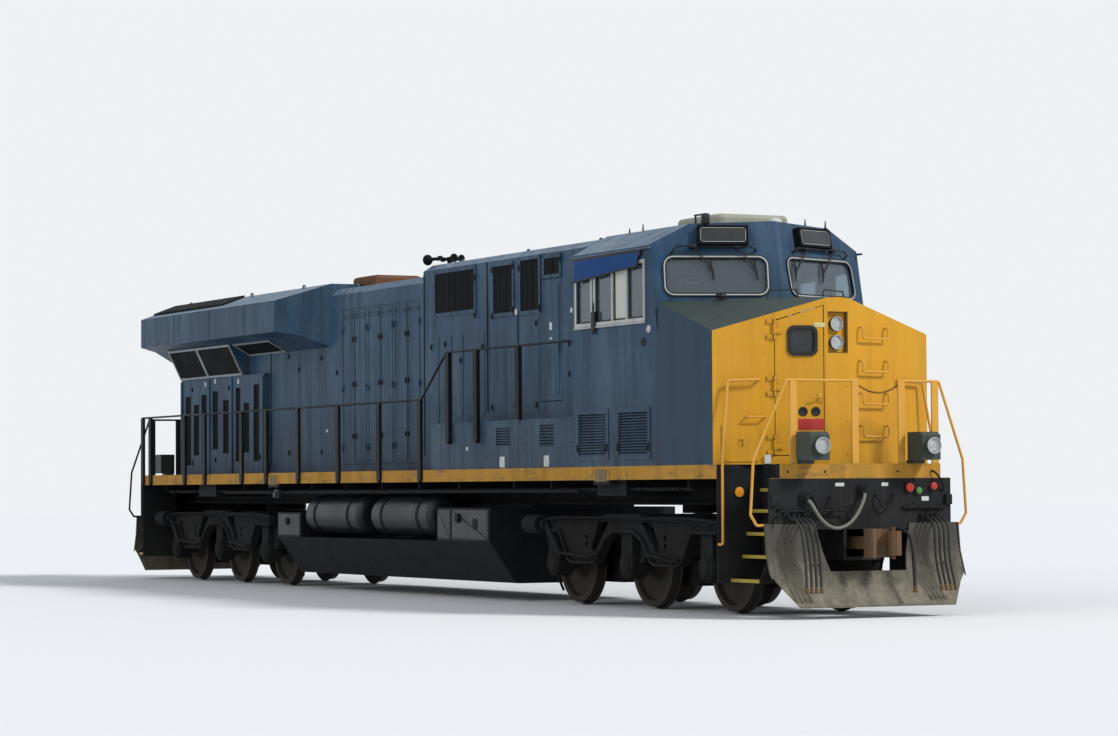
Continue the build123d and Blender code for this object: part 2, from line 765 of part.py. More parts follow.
for side, name in ((-1, "right_side_door"), (1, "left_side_door")):
    with BuildPart() as side_door:
        a, b = sorted((side * auxiliary_half, side * (auxiliary_half - side_door_thickness)))
        slab(side_door_rear, side_door_front, a, b, side_door_bottom, side_door_top)
        # Pressed panel and lever handle on the outside
        a, b = sorted((side * auxiliary_half, side * (auxiliary_half + panel_proud)))
        slab(side_door_rear + 70, side_door_front - 70, a, b, side_door_bottom + 80, side_door_top - 80)
        a, b = sorted((side * auxiliary_half, side * (auxiliary_half + 30)))
        slab(side_door_front - 60, side_door_front - 30, a, b, 3400, 3430)
        slab(side_door_front - 60, side_door_front - 30, b - 12 if side > 0 else a, b if side > 0 else a + 12,
             3300, 3430)
        a, b = sorted((side * side_hinge_y, side * (auxiliary_half - side_door_thickness)))
        for z in side_hinge_z:
            slab(side_door_rear, side_door_rear + 14, a, b, z - 25, z + 25)
        with Locations(*[(side_door_rear, side * side_hinge_y, z) for z in side_hinge_z]):
            Cylinder(side_hinge_radius, 50)
    save(side_door.part, name)

# Raised walkway cabinets along both sides of the auxiliary hood, with small louvred panels
cabinet_louvres = ((3956, 4375, 2076, 2321), (5229, 5654, 2060, 2337))
cabinet_louvre_count = 7
with BuildPart() as walkway_cabinets:
    for side in sides:
        a, b = sorted((side * auxiliary_half, side * cabinet_half))
        slab(cabinet_rear, cab_rear, a, b, deck_top, cabinet_top - 14)
        # The walkway's plate stands out past the cabinet's rear
        slab(cabinet_rear - 14, cab_rear, a, b, cabinet_top - 14, cabinet_top)
        for low, high, bottom, top in cabinet_louvres:
            louvres(side, cabinet_half, low, high, bottom, top, cabinet_louvre_count)
save(walkway_cabinets.part, "walkway_cabinets")

# Engine room door hinges: the axis stands outside the hood's face
door_hinge_out = 16
door_hinge_radius = 10
door_hinge_z = (2180, 3070, 3960)
door_hinge_plate = 60
door_lug = 28


def leaf_edges(index):
    # Rear and front x of one leaf, and the x of its hinge
    low = door_first_x + index * door_pitch
    high = low + door_pitch
    if index % 2 == 1:
        low, high = low + door_gap / 2, high - door_post / 2 - door_gap
        return low, high, high
    low, high = low + door_post / 2 + door_gap, high - door_gap / 2
    return low, high, low


# Engine hood, hollow, with three doorways a side
with BuildPart() as engine_hood:
    section = [(hood_half, deck_top), (hood_half, hood_eave), (hood_shoulder_y, hood_crown)]
    along_x(mirrored(section), engine_hood_rear, auxiliary_rear)
    section = [(hood_half - hood_wall, deck_top - 10), (hood_half - hood_wall, hood_eave - 20),
               (hood_shoulder_y - 20, hood_crown - hood_wall)]
    along_x(mirrored(section), engine_hood_rear + hood_wall, auxiliary_rear - hood_wall, mode=Mode.SUBTRACT)
    for pair in range(door_count // 2):
        low = door_first_x + 2 * pair * door_pitch + door_post / 2
        high = low + 2 * door_pitch - door_post
        slab(low, high, -hood_half - 10, hood_half + 10, door_bottom - door_gap, door_top + door_gap,
             mode=Mode.SUBTRACT)
    plates = []
    barrels = []
    for index in range(door_count):
        low, high, hinge_x = leaf_edges(index)
        toward = -1 if hinge_x == low else 1
        for side in sides:
            for z in door_hinge_z:
                middle = hinge_x + toward * (4 + door_lug / 2)
                plates.append((middle, side * (hood_half + 5), z - 50))
                barrels.append((hinge_x, side * (hood_half + door_hinge_out), z - 50))
    with Locations(*plates):
        Box(door_lug, 10, 40)
    with Locations(*barrels):
        Cylinder(door_hinge_radius, 40)
save(engine_hood.part, "engine_hood")

# Engine room door leaves, each hinged at the outer edge of its pair
for side, side_name in ((-1, "right"), (1, "left")):
    for index in range(door_count):
        with BuildPart() as leaf:
            low, high, hinge_x = leaf_edges(index)
            a, b = sorted((side * hood_half, side * (hood_half - door_thickness)))
            slab(low, high, a, b, door_bottom, door_top)
            toward = 1 if hinge_x == low else -1
            middle = hinge_x + toward * door_hinge_plate / 2
            with Locations(*[(middle, side * (hood_half + 5), z) for z in door_hinge_z]):
                Box(door_hinge_plate, 10, 50)
            with Locations(*[(hinge_x, side * (hood_half + door_hinge_out), z) for z in door_hinge_z]):
                Cylinder(door_hinge_radius, 50)
        save(leaf.part, side_name + "_engine_door_" + str(index + 1))

# The engine and alternator as one plain block on the deck
with BuildPart() as engine_block:
    slab(-2780, 700, -600, 600, deck_top, 3900)
save(engine_block.part, "engine_block")

# Overhanging wings of the radiator hood, with their slanted front ends
with BuildPart() as wings:
    section = [(hood_half, 3700), (wing_screen_y, wing_screen_z), (wing_half, wing_bottom),
               (wing_half, wing_edge_top), (hood_half, wing_crown)]
    along_x(mirrored(section), wing_rear, wing_root_front)
    for side in sides:
        root = Vector(wing_root_front, side * hood_half, 4000)
        tip = Vector(wing_front, side * wing_half, 4000)
        out = (tip - root).cross(Vector(0, 0, 1)).normalized()
        if out.X < 0:
            out = out * -1
        split(bisect_by=Plane(origin=root, z_dir=out), keep=Keep.BOTTOM)

# Radiator hood: the long rear hood, the wide lower box with its slots, and the wings
slot_depth = 40
# Slots of the lower box: rear x, front x, low z, high z
box_slots = ((-9010, -8760, 1945, 3104), (-8630, -8380, 2108, 2962), (-8260, -8010, 1960, 3120),
             (-7740, -7490, 2200, 3165), (-7260, -7000, 2128, 3002),
             (-6690, -6480, 1985, 3190), (-6340, -6090, 2128, 2930), (-5900, -5660, 1985, 3220))
box_pillars = (-9180, -7880, -6850, -5480)
pillar_half = 28
with BuildPart() as radiator_hood:
    section = [(hood_half, deck_top), (hood_half, wing_edge_top), (0, wing_edge_top)]
    along_x(mirrored(section), radiator_rear, engine_hood_rear)
    slab(radiator_rear, radiator_box_front, -radiator_box_half, radiator_box_half, deck_top, radiator_box_top)
    section = [(wing_screen_y, wing_screen_z), (radiator_box_half, radiator_box_top)]
    along_x(mirrored(section), radiator_rear, wing_screen_front)
    add(wings.part)
    for side in sides:
        for low, high, bottom, top in box_slots:
            a, b = sorted((side * (radiator_box_half - slot_depth), side * (radiator_box_half + 10)))
            slab(low, high, a, b, bottom, top, mode=Mode.SUBTRACT)
        for x in box_pillars:
            a, b = sorted((side * radiator_box_half, side * (radiator_box_half + 22)))
            slab(x - pillar_half, x + pillar_half, a, b, deck_top, radiator_box_top - 30)
save(radiator_hood.part, "radiator_hood")

# Screens let into the auxiliary hood, the radiator slots, the slanted faces, the undersides and the roof
slope_y = wing_screen_y - radiator_box_half
slope_z = wing_screen_z - radiator_box_top
slope_length = math.hypot(slope_y, slope_z)
normal_y = slope_z / slope_length
normal_z = -slope_y / slope_length
roof_rise = wing_crown - wing_edge_top
roof_run = wing_half - hood_half
with BuildPart() as body_screens:
    for side in sides:
        for low, high, bottom, top in auxiliary_screens:
            a, b = sorted((side * (auxiliary_half - 20), side * (auxiliary_half + 4)))
            slab(low, high, a, b, bottom, top)
        for low, high, bottom, top in box_slots:
            a, b = sorted((side * (radiator_box_half - slot_depth), side * (radiator_box_half - 18)))
            slab(low, high, a, b, bottom, top)
        for low, high in ((-9150, -7880), (-7820, -6360)):
            points = [(side * (wing_screen_y - slope_y * share + out * normal_y),
                       wing_screen_z - slope_z * share + out * normal_z)
                      for share, out in ((0.06, 0), (0.94, 0), (0.94, 10), (0.06, 10))]
            along_x(points, low, high)
        # Underside screen between the hood and the wing's edge
        points = [(side * (hood_half + (wing_screen_y - hood_half) * share),
                   3700 + (wing_screen_z - 3700) * share - drop)
                  for share, drop in ((0.08, 0), (0.92, 0), (0.92, 10), (0.08, 10))]
        along_x(points, -6200, -4700)
        # Core screens on the slopes of the roof
        points = [(side * (wing_half - roof_run * share), wing_edge_top + roof_rise * share + rise)
                  for share, rise in ((0.3, 0), (0.95, 0), (0.95, 34), (0.3, 34))]
        for low, high in ((-9700, -8650), (-8600, -7550), (-7500, -6450)):
            along_x(points, low, high)
save(body_screens.part, "body_screens")

# Exhaust stack housing, standing across the step between the two roofs, open at its top
exhaust_rear = -3330
exhaust_front = -2450
exhaust_half = 380
exhaust_top = 4790
exhaust_wall = 24
with BuildPart() as exhaust:
    along_y([(exhaust_rear, wing_crown), (engine_hood_rear, wing_crown), (engine_hood_rear, hood_crown),
             (exhaust_front, hood_crown), (exhaust_front, exhaust_top - 40), (exhaust_front - 60, exhaust_top),
             (exhaust_rear + 60, exhaust_top), (exhaust_rear, exhaust_top - 40)],
            -exhaust_half, exhaust_half)
    slab(exhaust_rear + 3 * exhaust_wall, engine_hood_rear - exhaust_wall, -exhaust_half + 2 * exhaust_wall,
         exhaust_half - 2 * exhaust_wall, exhaust_top - 90, exhaust_top + 10, mode=Mode.SUBTRACT)
    slab(engine_hood_rear + exhaust_wall, exhaust_front - 3 * exhaust_wall, -exhaust_half + 2 * exhaust_wall,
         exhaust_half - 2 * exhaust_wall, exhaust_top - 90, exhaust_top + 10, mode=Mode.SUBTRACT)
save(exhaust.part, "exhaust")

# Air conditioner on the cab roof: a rounded cover on a narrower foot
cooler_rear = 7150
cooler_front = 8250
cooler_half = 520
cooler_height = 120
with BuildPart() as roof_cooler:
    with BuildSketch(Plane.XY.offset(cab_crown)):
        with Locations(((cooler_rear + cooler_front) / 2, 0)):
            RectangleRounded(cooler_front - cooler_rear, 2 * cooler_half, 120)
    extrude(amount=cooler_height)
    fillet(roof_cooler.faces().sort_by(Axis.Z)[-1].edges(), radius=cooler_height / 2)
save(roof_cooler.part, "roof_cooler")

# Horn on the rear corner of the auxiliary roof: three trumpets on one bracket
horn_z = auxiliary_crown + 80
with BuildPart() as horn:
    # Each trumpet: y, x of its throat, x of its mouth, radius of its bell
    for y, throat, mouth, bell in ((-1040, 1300, 860, 78), (-880, 1010, 1400, 62), (-740, 1040, 1350, 54)):
        way = 1 if mouth > throat else -1
        with BuildSketch(Plane.XY.offset(horn_z)):
            with BuildLine():
                Polyline((throat, y), (throat, y + 34), (throat + way * 50, y + 34), (throat + way * 60, y + 18),
                         (mouth - way * 120, y + 28), (mouth - way * 36, y + 0.6 * bell), (mouth, y + bell),
                         (mouth - way * 6, y), close=True)
            make_face()
        revolve(axis=Axis((throat, y, horn_z), (1, 0, 0)))
    slab(1130, 1160, -1060, -720, horn_z - 26, horn_z - 8)
    slab(1130, 1160, -860, -800, auxiliary_crown, horn_z - 8)
save(horn.part, "horn")


def lamp(base_x, y, z, radius, depth, toward):
    # A round lamp facing along x: a rim round a shallow dished glass
    with BuildSketch(Plane.XY.offset(z)) as half:
        with BuildLine():
            Polyline((base_x, y), (base_x, y + radius), (base_x + toward * depth, y + radius),
                     (base_x + toward * depth, y + 0.88 * radius), (base_x + toward * 0.5 * depth, y + 0.8 * radius),
                     (base_x + toward * 0.8 * depth, y), close=True)
        make_face()
    revolve(half.sketch, axis=Axis((base_x, y, z), (1, 0, 0)))


# Lamps: headlight pairs, ditch lights in their boxes, and round markers in the step wells
ditch_y = 760
ditch_z = 1987
ditch_half = 125
ditch_rear = 10640
ditch_front = 10960
ditch_bottom = 1822
ditch_top = 2150
rear_headlight_drop = 500
marker_y = 1210
marker_z = 1460
with BuildPart() as lamps:
    for z in headlight_z:
        lamp(nose_front_x - recess_depth, 0, z, headlight_radius, 40, 1)
        lamp(radiator_rear, 0, z - rear_headlight_drop, headlight_radius, 50, -1)
    for end in ends:
        for side in sides:
            outline = [(ditch_rear, ditch_bottom), (ditch_rear, ditch_top), (ditch_front - 60, ditch_top),
                       (ditch_front, ditch_top - 40), (ditch_front, ditch_bottom)]
            along_y([(end * x, z) for x, z in outline], side * ditch_y - ditch_half, side * ditch_y + ditch_half)
            lamp(end * ditch_front, side * ditch_y, ditch_z, 95, 60, end)
            low, high = sorted((end * (platform_end - 90), end * (ditch_rear + 60)))
            slab(low, high, side * ditch_y - 80, side * ditch_y + 80, deck_top, ditch_bottom)
            lamp(end * (well_rear + well_wall), side * marker_y, marker_z, 62, 22, end)
save(lamps.part, "lamps")

# Side handrails: flat posts with cut feet outside the sill, and round rails
post_point = 45
high_post_foot = 2130
rear_rail = 9964
# Post places: x, foot z, top z
low_posts = [(x, sill_bottom, rail_low) for x in (-9795, -9419, -7768, -6838, -5193, -4153, -2852, -1307, 187, 1599)]
high_posts = [(2528, high_post_foot, rail_high), (3416, high_post_foot, rail_high), (4689, cabinet_top, rail_high)]
for side, name in ((-1, "right_handrails"), (1, "left_handrails")):
    with BuildPart() as handrails:
        for x, foot, top in low_posts + high_posts:
            inner = half_width if foot == sill_bottom else cabinet_half
            a, b = sorted((side * inner, side * (half_width + post_depth)))
            low = x - post_width / 2
            high = x + post_width / 2
            cut = post_point if foot < cabinet_top else 0
            outline = [(low, top), (low, foot + cut), (low + cut * 0.6, foot), (high - cut * 0.6, foot),
                       (high, foot + cut), (high, top)]
            if cut == 0:
                outline = [(low, top), (low, foot), (high, foot), (high, top)]
            along_y(outline, a, b)
        bent_rod([(-well_rear - well_wall, side * (half_width - 15), 854), (-rear_rail, side * (half_width - 15), 854),
                  (-rear_rail, side * (half_width - 15), 1841), (low_posts[0][0] - 60, side * rail_y, rail_low),
                  (1640, side * rail_y, rail_low), (2480, side * rail_y, rail_high),
                  (cab_rear - 220, side * rail_y, rail_high),
                  (cab_rear - 120, side * (half_width - 30), rail_high),
                  (cab_rear, side * (half_width - 30), rail_high)], rail_radius, 40)
    save(handrails.part, name)


def facet_point(s, out, z, side):
    # A point beside one facet of the nose: along it, out from it and up
    y = -half_width + facet_step.Y * s + facet_out.Y * out
    return (nose_corner_x + facet_step.X * s + facet_out.X * out, -side * y, z)


# Handrails round both end platforms, the step rails and the bars on the nose
end_rail_x = platform_end - 33
end_rail_top = 2750
end_post_width = 90
end_post_depth = 26
# Stanchions seen from ahead, right to left
end_posts = (-900, -60, 580, 1050)
bar_out = 70
with BuildPart() as end_handrails:
    for end in ends:
        low, high = sorted((end * (end_rail_x - end_post_depth / 2), end * (end_rail_x + end_post_depth / 2)))
        for y in end_posts:
            slab(low, high, end * y - end_post_width / 2, end * y + end_post_width / 2, deck_top, end_rail_top)
        # Each rail runs from its inner post over the outer one and down beside the steps
        for start, top_end in ((end_posts[1] + 45, -985), (end_posts[2] - 45, 1110)):
            way = 1 if top_end > 0 else -1
            route = [(start, end_rail_top), (top_end, end_rail_top), (way * 1438, 1834), (way * 1480, 1196),
                     (way * 1400, 1075), (way * end_plate_half_width, 1075)]
            bent_rod([(end * end_rail_x, end * y, z) for y, z in route], rail_radius, 30)
    for side in sides:
        bent_rod([facet_point(552, 0, 2775, side), facet_point(552, bar_out, 2775, side),
                  facet_point(166, bar_out, 2760, side), (9962, side * (half_width - 15), 1841),
                  (9962, side * (half_width - 15), 854), (well_rear + well_wall, side * (half_width - 15), 854)],
                 rail_radius, 30)
    # Grab bar on the right facet, and the four dropped steps on the left one
    bent_rod([facet_point(403, 0, 2339, -1), facet_point(403, bar_out, 2339, -1), facet_point(629, bar_out, 2339, -1),
              facet_point(629, 0, 2339, -1)], 12, 25)
    for z in (3400, 3005, 2620, 2235):
        bent_rod([facet_point(770, 0, z, 1), facet_point(770, bar_out, z, 1), facet_point(770, bar_out, z - 130, 1),
                  facet_point(1220, bar_out, z - 130, 1), facet_point(1220, bar_out, z, 1),
                  facet_point(1220, 0, z, 1)], 12, 25)
save(end_handrails.part, "end_handrails")

# Pipes along the sills
with BuildPart() as sill_pipes:
    for side in sides:
        rod((-6200, side * 1400, 1480), (6200, side * 1400, 1480), 22)
        for x in (-5400, -4300, -2600, -1300, 0, 1300, 2600, 4300, 5400):
            slab(x - 12, x + 12, side * 1400 - 20, side * 1400 + 20, 1480, 1520)
save(sill_pipes.part, "sill_pipes")

# Couplers: shank, head with its guard arm, knuckle on its pin
head_half = 165
knuckle_half = 140
for end, name in ((1, "front_coupler"), (-1, "rear_coupler")):
    with BuildPart() as coupler:
        low, high = sorted((end * coupler_pin, end * 10880))
        slab(low, high, -shank_half, shank_half, coupler_height - shank_half, coupler_height + shank_half)
        # Head and guard arm in plan, then the knuckle
        head = [(10820, -80), (10900, -150), (11000, -185), (11120, -205), (11165, -190), (11165, -150),
                (11060, -110), (11020, -60), (11015, 20), (11050, 70), (11060, 150), (11000, 175), (10900, 140),
                (10820, 80)]
        along_z([(end * x, end * y) for x, y in head], coupler_height - head_half, coupler_height + head_half)
        knuckle = [(11050, 70), (11120, 45), (11180, 55), (coupler_face, 100), (coupler_face, 150),
                   (11180, 185), (11100, 195), (11050, 160)]
        along_z([(end * x, end * y) for x, y in knuckle], coupler_height - knuckle_half,
                coupler_height + knuckle_half)
        rod((end * 11090, end * 130, coupler_height - head_half - 20),
            (end * 11090, end * 130, coupler_height + head_half + 20), 26)
        rod((end * coupler_pin, 0, coupler_height - 120), (end * coupler_pin, 0, coupler_height + 120), 110)
    save(coupler.part, name)

# Jumper cable between the trainline receptacles on the front plate
with BuildPart() as jumper_cables:
    bent_rod([(platform_end + 20, -790, 1380), (platform_end + 120, -790, 1380), (platform_end + 150, -640, 1130),
              (platform_end + 150, -450, 1030), (platform_end + 150, -220, 1120), (platform_end + 120, 0, 1460),
              (platform_end + 20, 0, 1460)], 20, 50)
save(jumper_cables.part, "jumper_cables")

# Wheelsets: two flanged wheels on one axle
tread = wheel_diameter / 2
# Half section of one wheel: distance out from its back face, radius
wheel_section = ((0, 0), (0, tread + flange_depth - 10), (10, tread + flange_depth), (20, tread + flange_depth),
                 (flange_width, tread + 3), (wheel_width, tread - 3), (wheel_width, tread - 75), (80, tread - 95),
                 (60, 190), (150, 150), (150, 0))
with BuildPart() as wheelset_form:
    with BuildSketch(Plane.YZ):
        for side in sides:
            with BuildLine():
                Polyline(*[(side * (wheel_back + out), axle_height + radius) for out, radius in wheel_section],
                         close=True)
            make_face()
        with BuildLine():
            Polyline((-journal_end, axle_height), (-journal_end, axle_height + journal_radius),
                     (-900, axle_height + journal_radius), (-900, axle_height + axle_radius),
                     (900, axle_height + axle_radius), (900, axle_height + journal_radius),
                     (journal_end, axle_height + journal_radius), (journal_end, axle_height), close=True)
        make_face()
    revolve(axis=Axis((0, 0, axle_height), (0, 1, 0)))

trucks = (("front", truck_centre), ("rear", -truck_centre))
axle_offsets = (-axle_spacing, 0, axle_spacing)
for name, centre in trucks:
    for index, axle in enumerate(axle_offsets):
        with BuildPart() as wheelset:
            with Locations((centre + axle, 0, 0)):
                add(wheelset_form.part)
        save(wheelset.part, name + "_wheelset_" + str(index + 1))

# Truck frames: ribbed side frames, transoms, centre beam, journal boxes, springs and brakes
frame_y_inner = 1120
frame_y_outer = 1250
frame_rib = 38
rib_depth = 45
box_inner = 960
box_radius = 185
transom_x = 1003
spring_radius = 60
spring_bottom = 640
spring_top = 960
spring_y = 1040
spring_step = 245
shoe_gap = 9
shoe_depth = 55
shoe_inner = 716
shoe_outer = 800
cylinder_y = 1260
cylinder_z = 1050
# Front half of the side frame's outline and its slot: distance from the middle axle, height
side_frame = [(0, 1190), (420, 1190), (560, 1160), (1700, 1160), (2350, 1120), (2350, 960), (1750, 960),
              (1500, 600), (1400, 555), (800, 555), (700, 600), (480, 860), (260, 960), (0, 960)]
frame_slot = [(430, 1090), (700, 1090), (900, 760), (820, 700)]
frame_holes = ((1033, 900), (1033, 800))
# Brake shoes: axle offset, then the shoe's place from that axle
brake_shoes = ((-axle_spacing, 572, 90), (0, 572, 238), (axle_spacing, -572, 90))
box_length = journal_end + 50 - box_inner
box_y = box_inner + box_length / 2
box_places = [(axle, side) for axle in axle_offsets for side in sides]
side_outline = side_frame + [(-x, z) for x, z in reversed(side_frame) if x != 0]
with BuildPart() as frame_form:
    for side in sides:
        a, b = sorted((side * frame_y_inner, side * frame_y_outer))
        along_y(side_outline, a, b)
        # The web lies deeper than the ribs round its edge
        with BuildSketch(Plane.XZ.offset(-side * frame_y_outer)) as web:
            with BuildLine():
                Polyline(*side_outline, close=True)
            make_face()
            offset(amount=-frame_rib, kind=Kind.INTERSECTION, mode=Mode.REPLACE)
        extrude(web.sketch, amount=side * rib_depth, mode=Mode.SUBTRACT)
    for way in sides:
        along_y([(way * x, z) for x, z in frame_slot], -frame_y_outer, frame_y_outer, mode=Mode.SUBTRACT)
    with Locations(*[(way * x, 0, z) for x, z in frame_holes for way in sides]):
        Cylinder(35, 2 * frame_y_outer, rotation=(90, 0, 0), mode=Mode.SUBTRACT)
    with Locations(*[(x, side * box_y, axle_height) for x, side in box_places]):
        Cylinder(box_radius, box_length, rotation=(90, 0, 0))
    with Locations(*[(x, side * box_y, (axle_height + 1100) / 2) for x, side in box_places]):
        Box(280, box_length, 1100 - axle_height)
    # Coil springs stand on the wings of the journal boxes
    seat_length = 2 * (spring_step + spring_radius)
    with Locations(*[(x, side * spring_y, z) for x, side in box_places for z in (spring_bottom - 25, spring_top + 25)]):
        Box(seat_length, 2 * spring_radius, 50)
    with Locations(*[(x + way * spring_step, side * spring_y, (spring_bottom + spring_top) / 2)
                     for x, side in box_places for way in sides]):
        Cylinder(spring_radius, spring_top - spring_bottom)
    bore_length = journal_end + bearing_gap - box_inner + 10
    with Locations(*[(x, side * (box_inner - 10 + bore_length / 2), axle_height) for x, side in box_places]):
        Cylinder(journal_radius + bearing_gap, bore_length, rotation=(90, 0, 0), mode=Mode.SUBTRACT)
    inner = tread + shoe_gap
    for side in sides:
        for axle, place_x, place_z in brake_shoes:
            heading = math.atan2(place_z, place_x)
            angles = [heading + math.radians(step) for step in (-14, -7, 0, 7, 14)]
            outline = [(inner * math.cos(angle), inner * math.sin(angle)) for angle in angles]
            outline += [((inner + shoe_depth) * math.cos(angle), (inner + shoe_depth) * math.sin(angle))
                        for angle in reversed(angles)]
            low, high = sorted((side * shoe_inner, side * shoe_outer))
            along_y([(axle + x, axle_height + z) for x, z in outline], low, high)
            # The shoe's beam runs out to the side frame
            reach = (inner + shoe_depth + 15) / math.hypot(place_x, place_z)
            x = axle + place_x * reach
            z = axle_height + place_z * reach
            low, high = sorted((side * (shoe_outer - 60), side * frame_y_inner))
            slab(x - 30, x + 30, low, high, z - 30, z + 30)
        # Brake cylinder at the rear end and its link to the levers
        rod((-2540, side * cylinder_y, cylinder_z), (-2150, side * cylinder_y, cylinder_z), 125)
        rod((-2150, side * cylinder_y, cylinder_z), (-2060, side * cylinder_y, cylinder_z), 60)
        low, high = sorted((side * (frame_y_outer - 10), side * (frame_y_outer + 30)))
        along_y([(-2100, 1080), (-2040, 1080), (-1650, 700), (-1650, 640), (-1710, 640), (-2100, 1010)], low, high)
    for x in (-transom_x, transom_x):
        slab(x - 200, x + 200, -frame_y_inner, frame_y_inner, 960, 1150)
    slab(-transom_x, transom_x, -420, 420, 1130, 1180)

# Traction motors, one beside each axle and hung from a transom
# Motor places from the truck centre: low x, high x, low and high x of the hanger
motors = ((-1880, -1150, -1200, -1160), (125, 860, 815, 855), (1150, 1880, 1160, 1200))
motor_bottom = 300
motor_top = 900
motor_half = 560
for name, centre in trucks:
    with BuildPart() as truck_frame:
        with Locations((centre, 0, 0)):
            add(frame_form.part)
    save(truck_frame.part, name + "_truck_frame")
    with BuildPart() as traction_motors:
        for low, high, hanger_low, hanger_high in motors:
            outline = [(low, 420), (low + 120, motor_bottom), (high - 120, motor_bottom), (high, 420),
                       (high, 780), (high - 60, motor_top), (low + 60, motor_top), (low, 780)]
            along_y([(centre + x, z) for x, z in outline], -motor_half, motor_half)
            slab(centre + hanger_low, centre + hanger_high, -200, 200, 850, 960)
    save(traction_motors.part, name + "_traction_motors")


def cord_radii(points):
    # Each bend as wide as its two runs allow
    radii = []
    for before, here, after in zip(points, points[1:], points[2:]):
        first = Vector(*here) - Vector(*before)
        second = Vector(*after) - Vector(*here)
        turn = math.radians(first.get_angle(second))
        radii.append(0.45 * min(first.length, second.length) / math.tan(turn / 2))
    return radii


# Brake and control hoses hanging in front of the plows
# Route from the valve: distance past the platform end, sideways drift, height
hose_route = ((60, 0, 1150), (180, 0, 1150), (275, 0, 1076), (306, 2, 960), (322, 6, 830),
              (345, 8, 690), (376, 6, 540), (415, 0, 370))
control_hoses = (-1010, -945, -880, -815, 815, 880, 945, 1010)
control_hose_radius = 15
brake_hose_radius = 22
brake_hose = ((60, 0, 1010), (195, 0, 1010), (320, -4, 928), (384, -16, 793), (424, -34, 650), (454, -48, 505),
              (478, -56, 360))
brake_hose_y = 470
coupling_length = 70


def hose_places(end):
    # Every hose at one end: its points and its radius
    places = []
    for y in control_hoses:
        turn = 1 if y > 0 else -1
        points = [(end * (platform_end + out), y - turn * drift * 3, z) for out, drift, z in hose_route]
        places.append((points, control_hose_radius))
    points = [(end * (platform_end + out), end * (brake_hose_y + drift), z) for out, drift, z in brake_hose]
    places.append((points, brake_hose_radius))
    return places


with BuildPart() as hoses:
    for end in ends:
        for points, radius in hose_places(end):
            bent_rod(points, radius, cord_radii(points))
save(hoses.part, "hoses")
print("hose radii", [round(radius) for radius in cord_radii(hose_places(1)[0][0])])
print("brake hose radii", [round(radius) for radius in cord_radii(hose_places(1)[-1][0])])
print("hoses volume", round(hoses.part.volume))

with BuildPart() as hose_couplings:
    for end in ends:
        for points, radius in hose_places(end):
            last = Vector(*points[-1])
            run = (last - Vector(*points[-2])).normalized()
            finish = last + run * coupling_length
            rod(tuple(last), tuple(finish), radius + 8)
save(hose_couplings.part, "hose_couplings")

# Valves, receptacles and the uncoupling lever on the end plates
lever_z = 1240
with BuildPart() as end_gear:
    for end in ends:
        for points, radius in hose_places(end):
            first = points[0]
            rod((end * platform_end, first[1], first[2]), first, radius + 8)
        for y, z in ((-790, 1380), (0, 1460)):
            low, high = sorted((end * platform_end, end * (platform_end + 20)))
            slab(low, high, y - 60, y + 60, z - 60, z + 60)
        bent_rod([(end * (platform_end + 70), end * y, z) for y, z in
                  ((-1190, 1090), (-1140, lever_z), (-250, lever_z), (-190, 1090))], 14, 40)
        low, high = sorted((end * platform_end, end * (platform_end + 80)))
        for y in (-1060, -420):
            slab(low, high, end * y - 18, end * y + 18, lever_z - 24, lever_z + 24)
save(end_gear.part, "end_gear")
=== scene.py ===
import bmesh
import bpy
import math
from mathutils import Matrix, Vector


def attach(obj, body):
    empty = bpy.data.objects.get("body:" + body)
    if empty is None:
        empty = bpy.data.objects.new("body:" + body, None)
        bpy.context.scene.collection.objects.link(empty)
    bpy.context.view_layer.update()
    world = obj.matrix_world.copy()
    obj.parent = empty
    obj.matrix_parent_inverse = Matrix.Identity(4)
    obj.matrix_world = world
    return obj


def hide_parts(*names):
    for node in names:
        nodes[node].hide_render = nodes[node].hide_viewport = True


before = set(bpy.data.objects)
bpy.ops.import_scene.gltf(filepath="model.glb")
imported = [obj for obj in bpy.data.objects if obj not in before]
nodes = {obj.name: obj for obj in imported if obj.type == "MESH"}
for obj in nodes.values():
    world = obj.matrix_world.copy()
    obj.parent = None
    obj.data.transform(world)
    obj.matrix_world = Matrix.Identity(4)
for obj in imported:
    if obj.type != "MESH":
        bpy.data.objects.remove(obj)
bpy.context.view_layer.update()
scene = bpy.context.scene
sides = (-1, 1)
sideNames = {-1: "right", 1: "left"}
endNames = {1: "front", -1: "rear"}
upward = Vector((0, 0, 1))
ahead = Vector((1, 0, 0))
print("frame loaded:", len(nodes), "nodes")


# Shader parts

def addNode(tree, kind, inputs=None, **settings):
    made = tree.nodes.new(kind)
    for key, value in settings.items():
        setattr(made, key, value)
    for key, value in (inputs or {}).items():
        if isinstance(value, bpy.types.NodeSocket):
            tree.links.new(value, made.inputs[key])
        else:
            made.inputs[key].default_value = value
    return made


def mixColour(tree, share, first, second):
    return addNode(tree, "ShaderNodeMix", {0: share, 6: first, 7: second}, data_type="RGBA").outputs[2]


def calc(tree, operation, first, second=0.0):
    return addNode(tree, "ShaderNodeMath", {0: first, 1: second}, operation=operation).outputs[0]


def product(tree, first, *others):
    for other in others:
        first = calc(tree, "MULTIPLY", first, other)
    return first


def beyond(tree, value, limit):
    # 1 where a coordinate is further than limit from the middle
    return calc(tree, "GREATER_THAN", calc(tree, "ABSOLUTE", value), limit)


def spread(tree, value, low, high, start=0.0, last=1.0, **settings):
    return addNode(tree, "ShaderNodeMapRange", {"Value": value, "From Min": low, "From Max": high,
                                               "To Min": start, "To Max": last}, **settings).outputs[0]


def objectPlace(tree):
    return addNode(tree, "ShaderNodeTexCoord").outputs["Object"]


def split(tree, vector):
    return addNode(tree, "ShaderNodeSeparateXYZ", {0: vector}).outputs


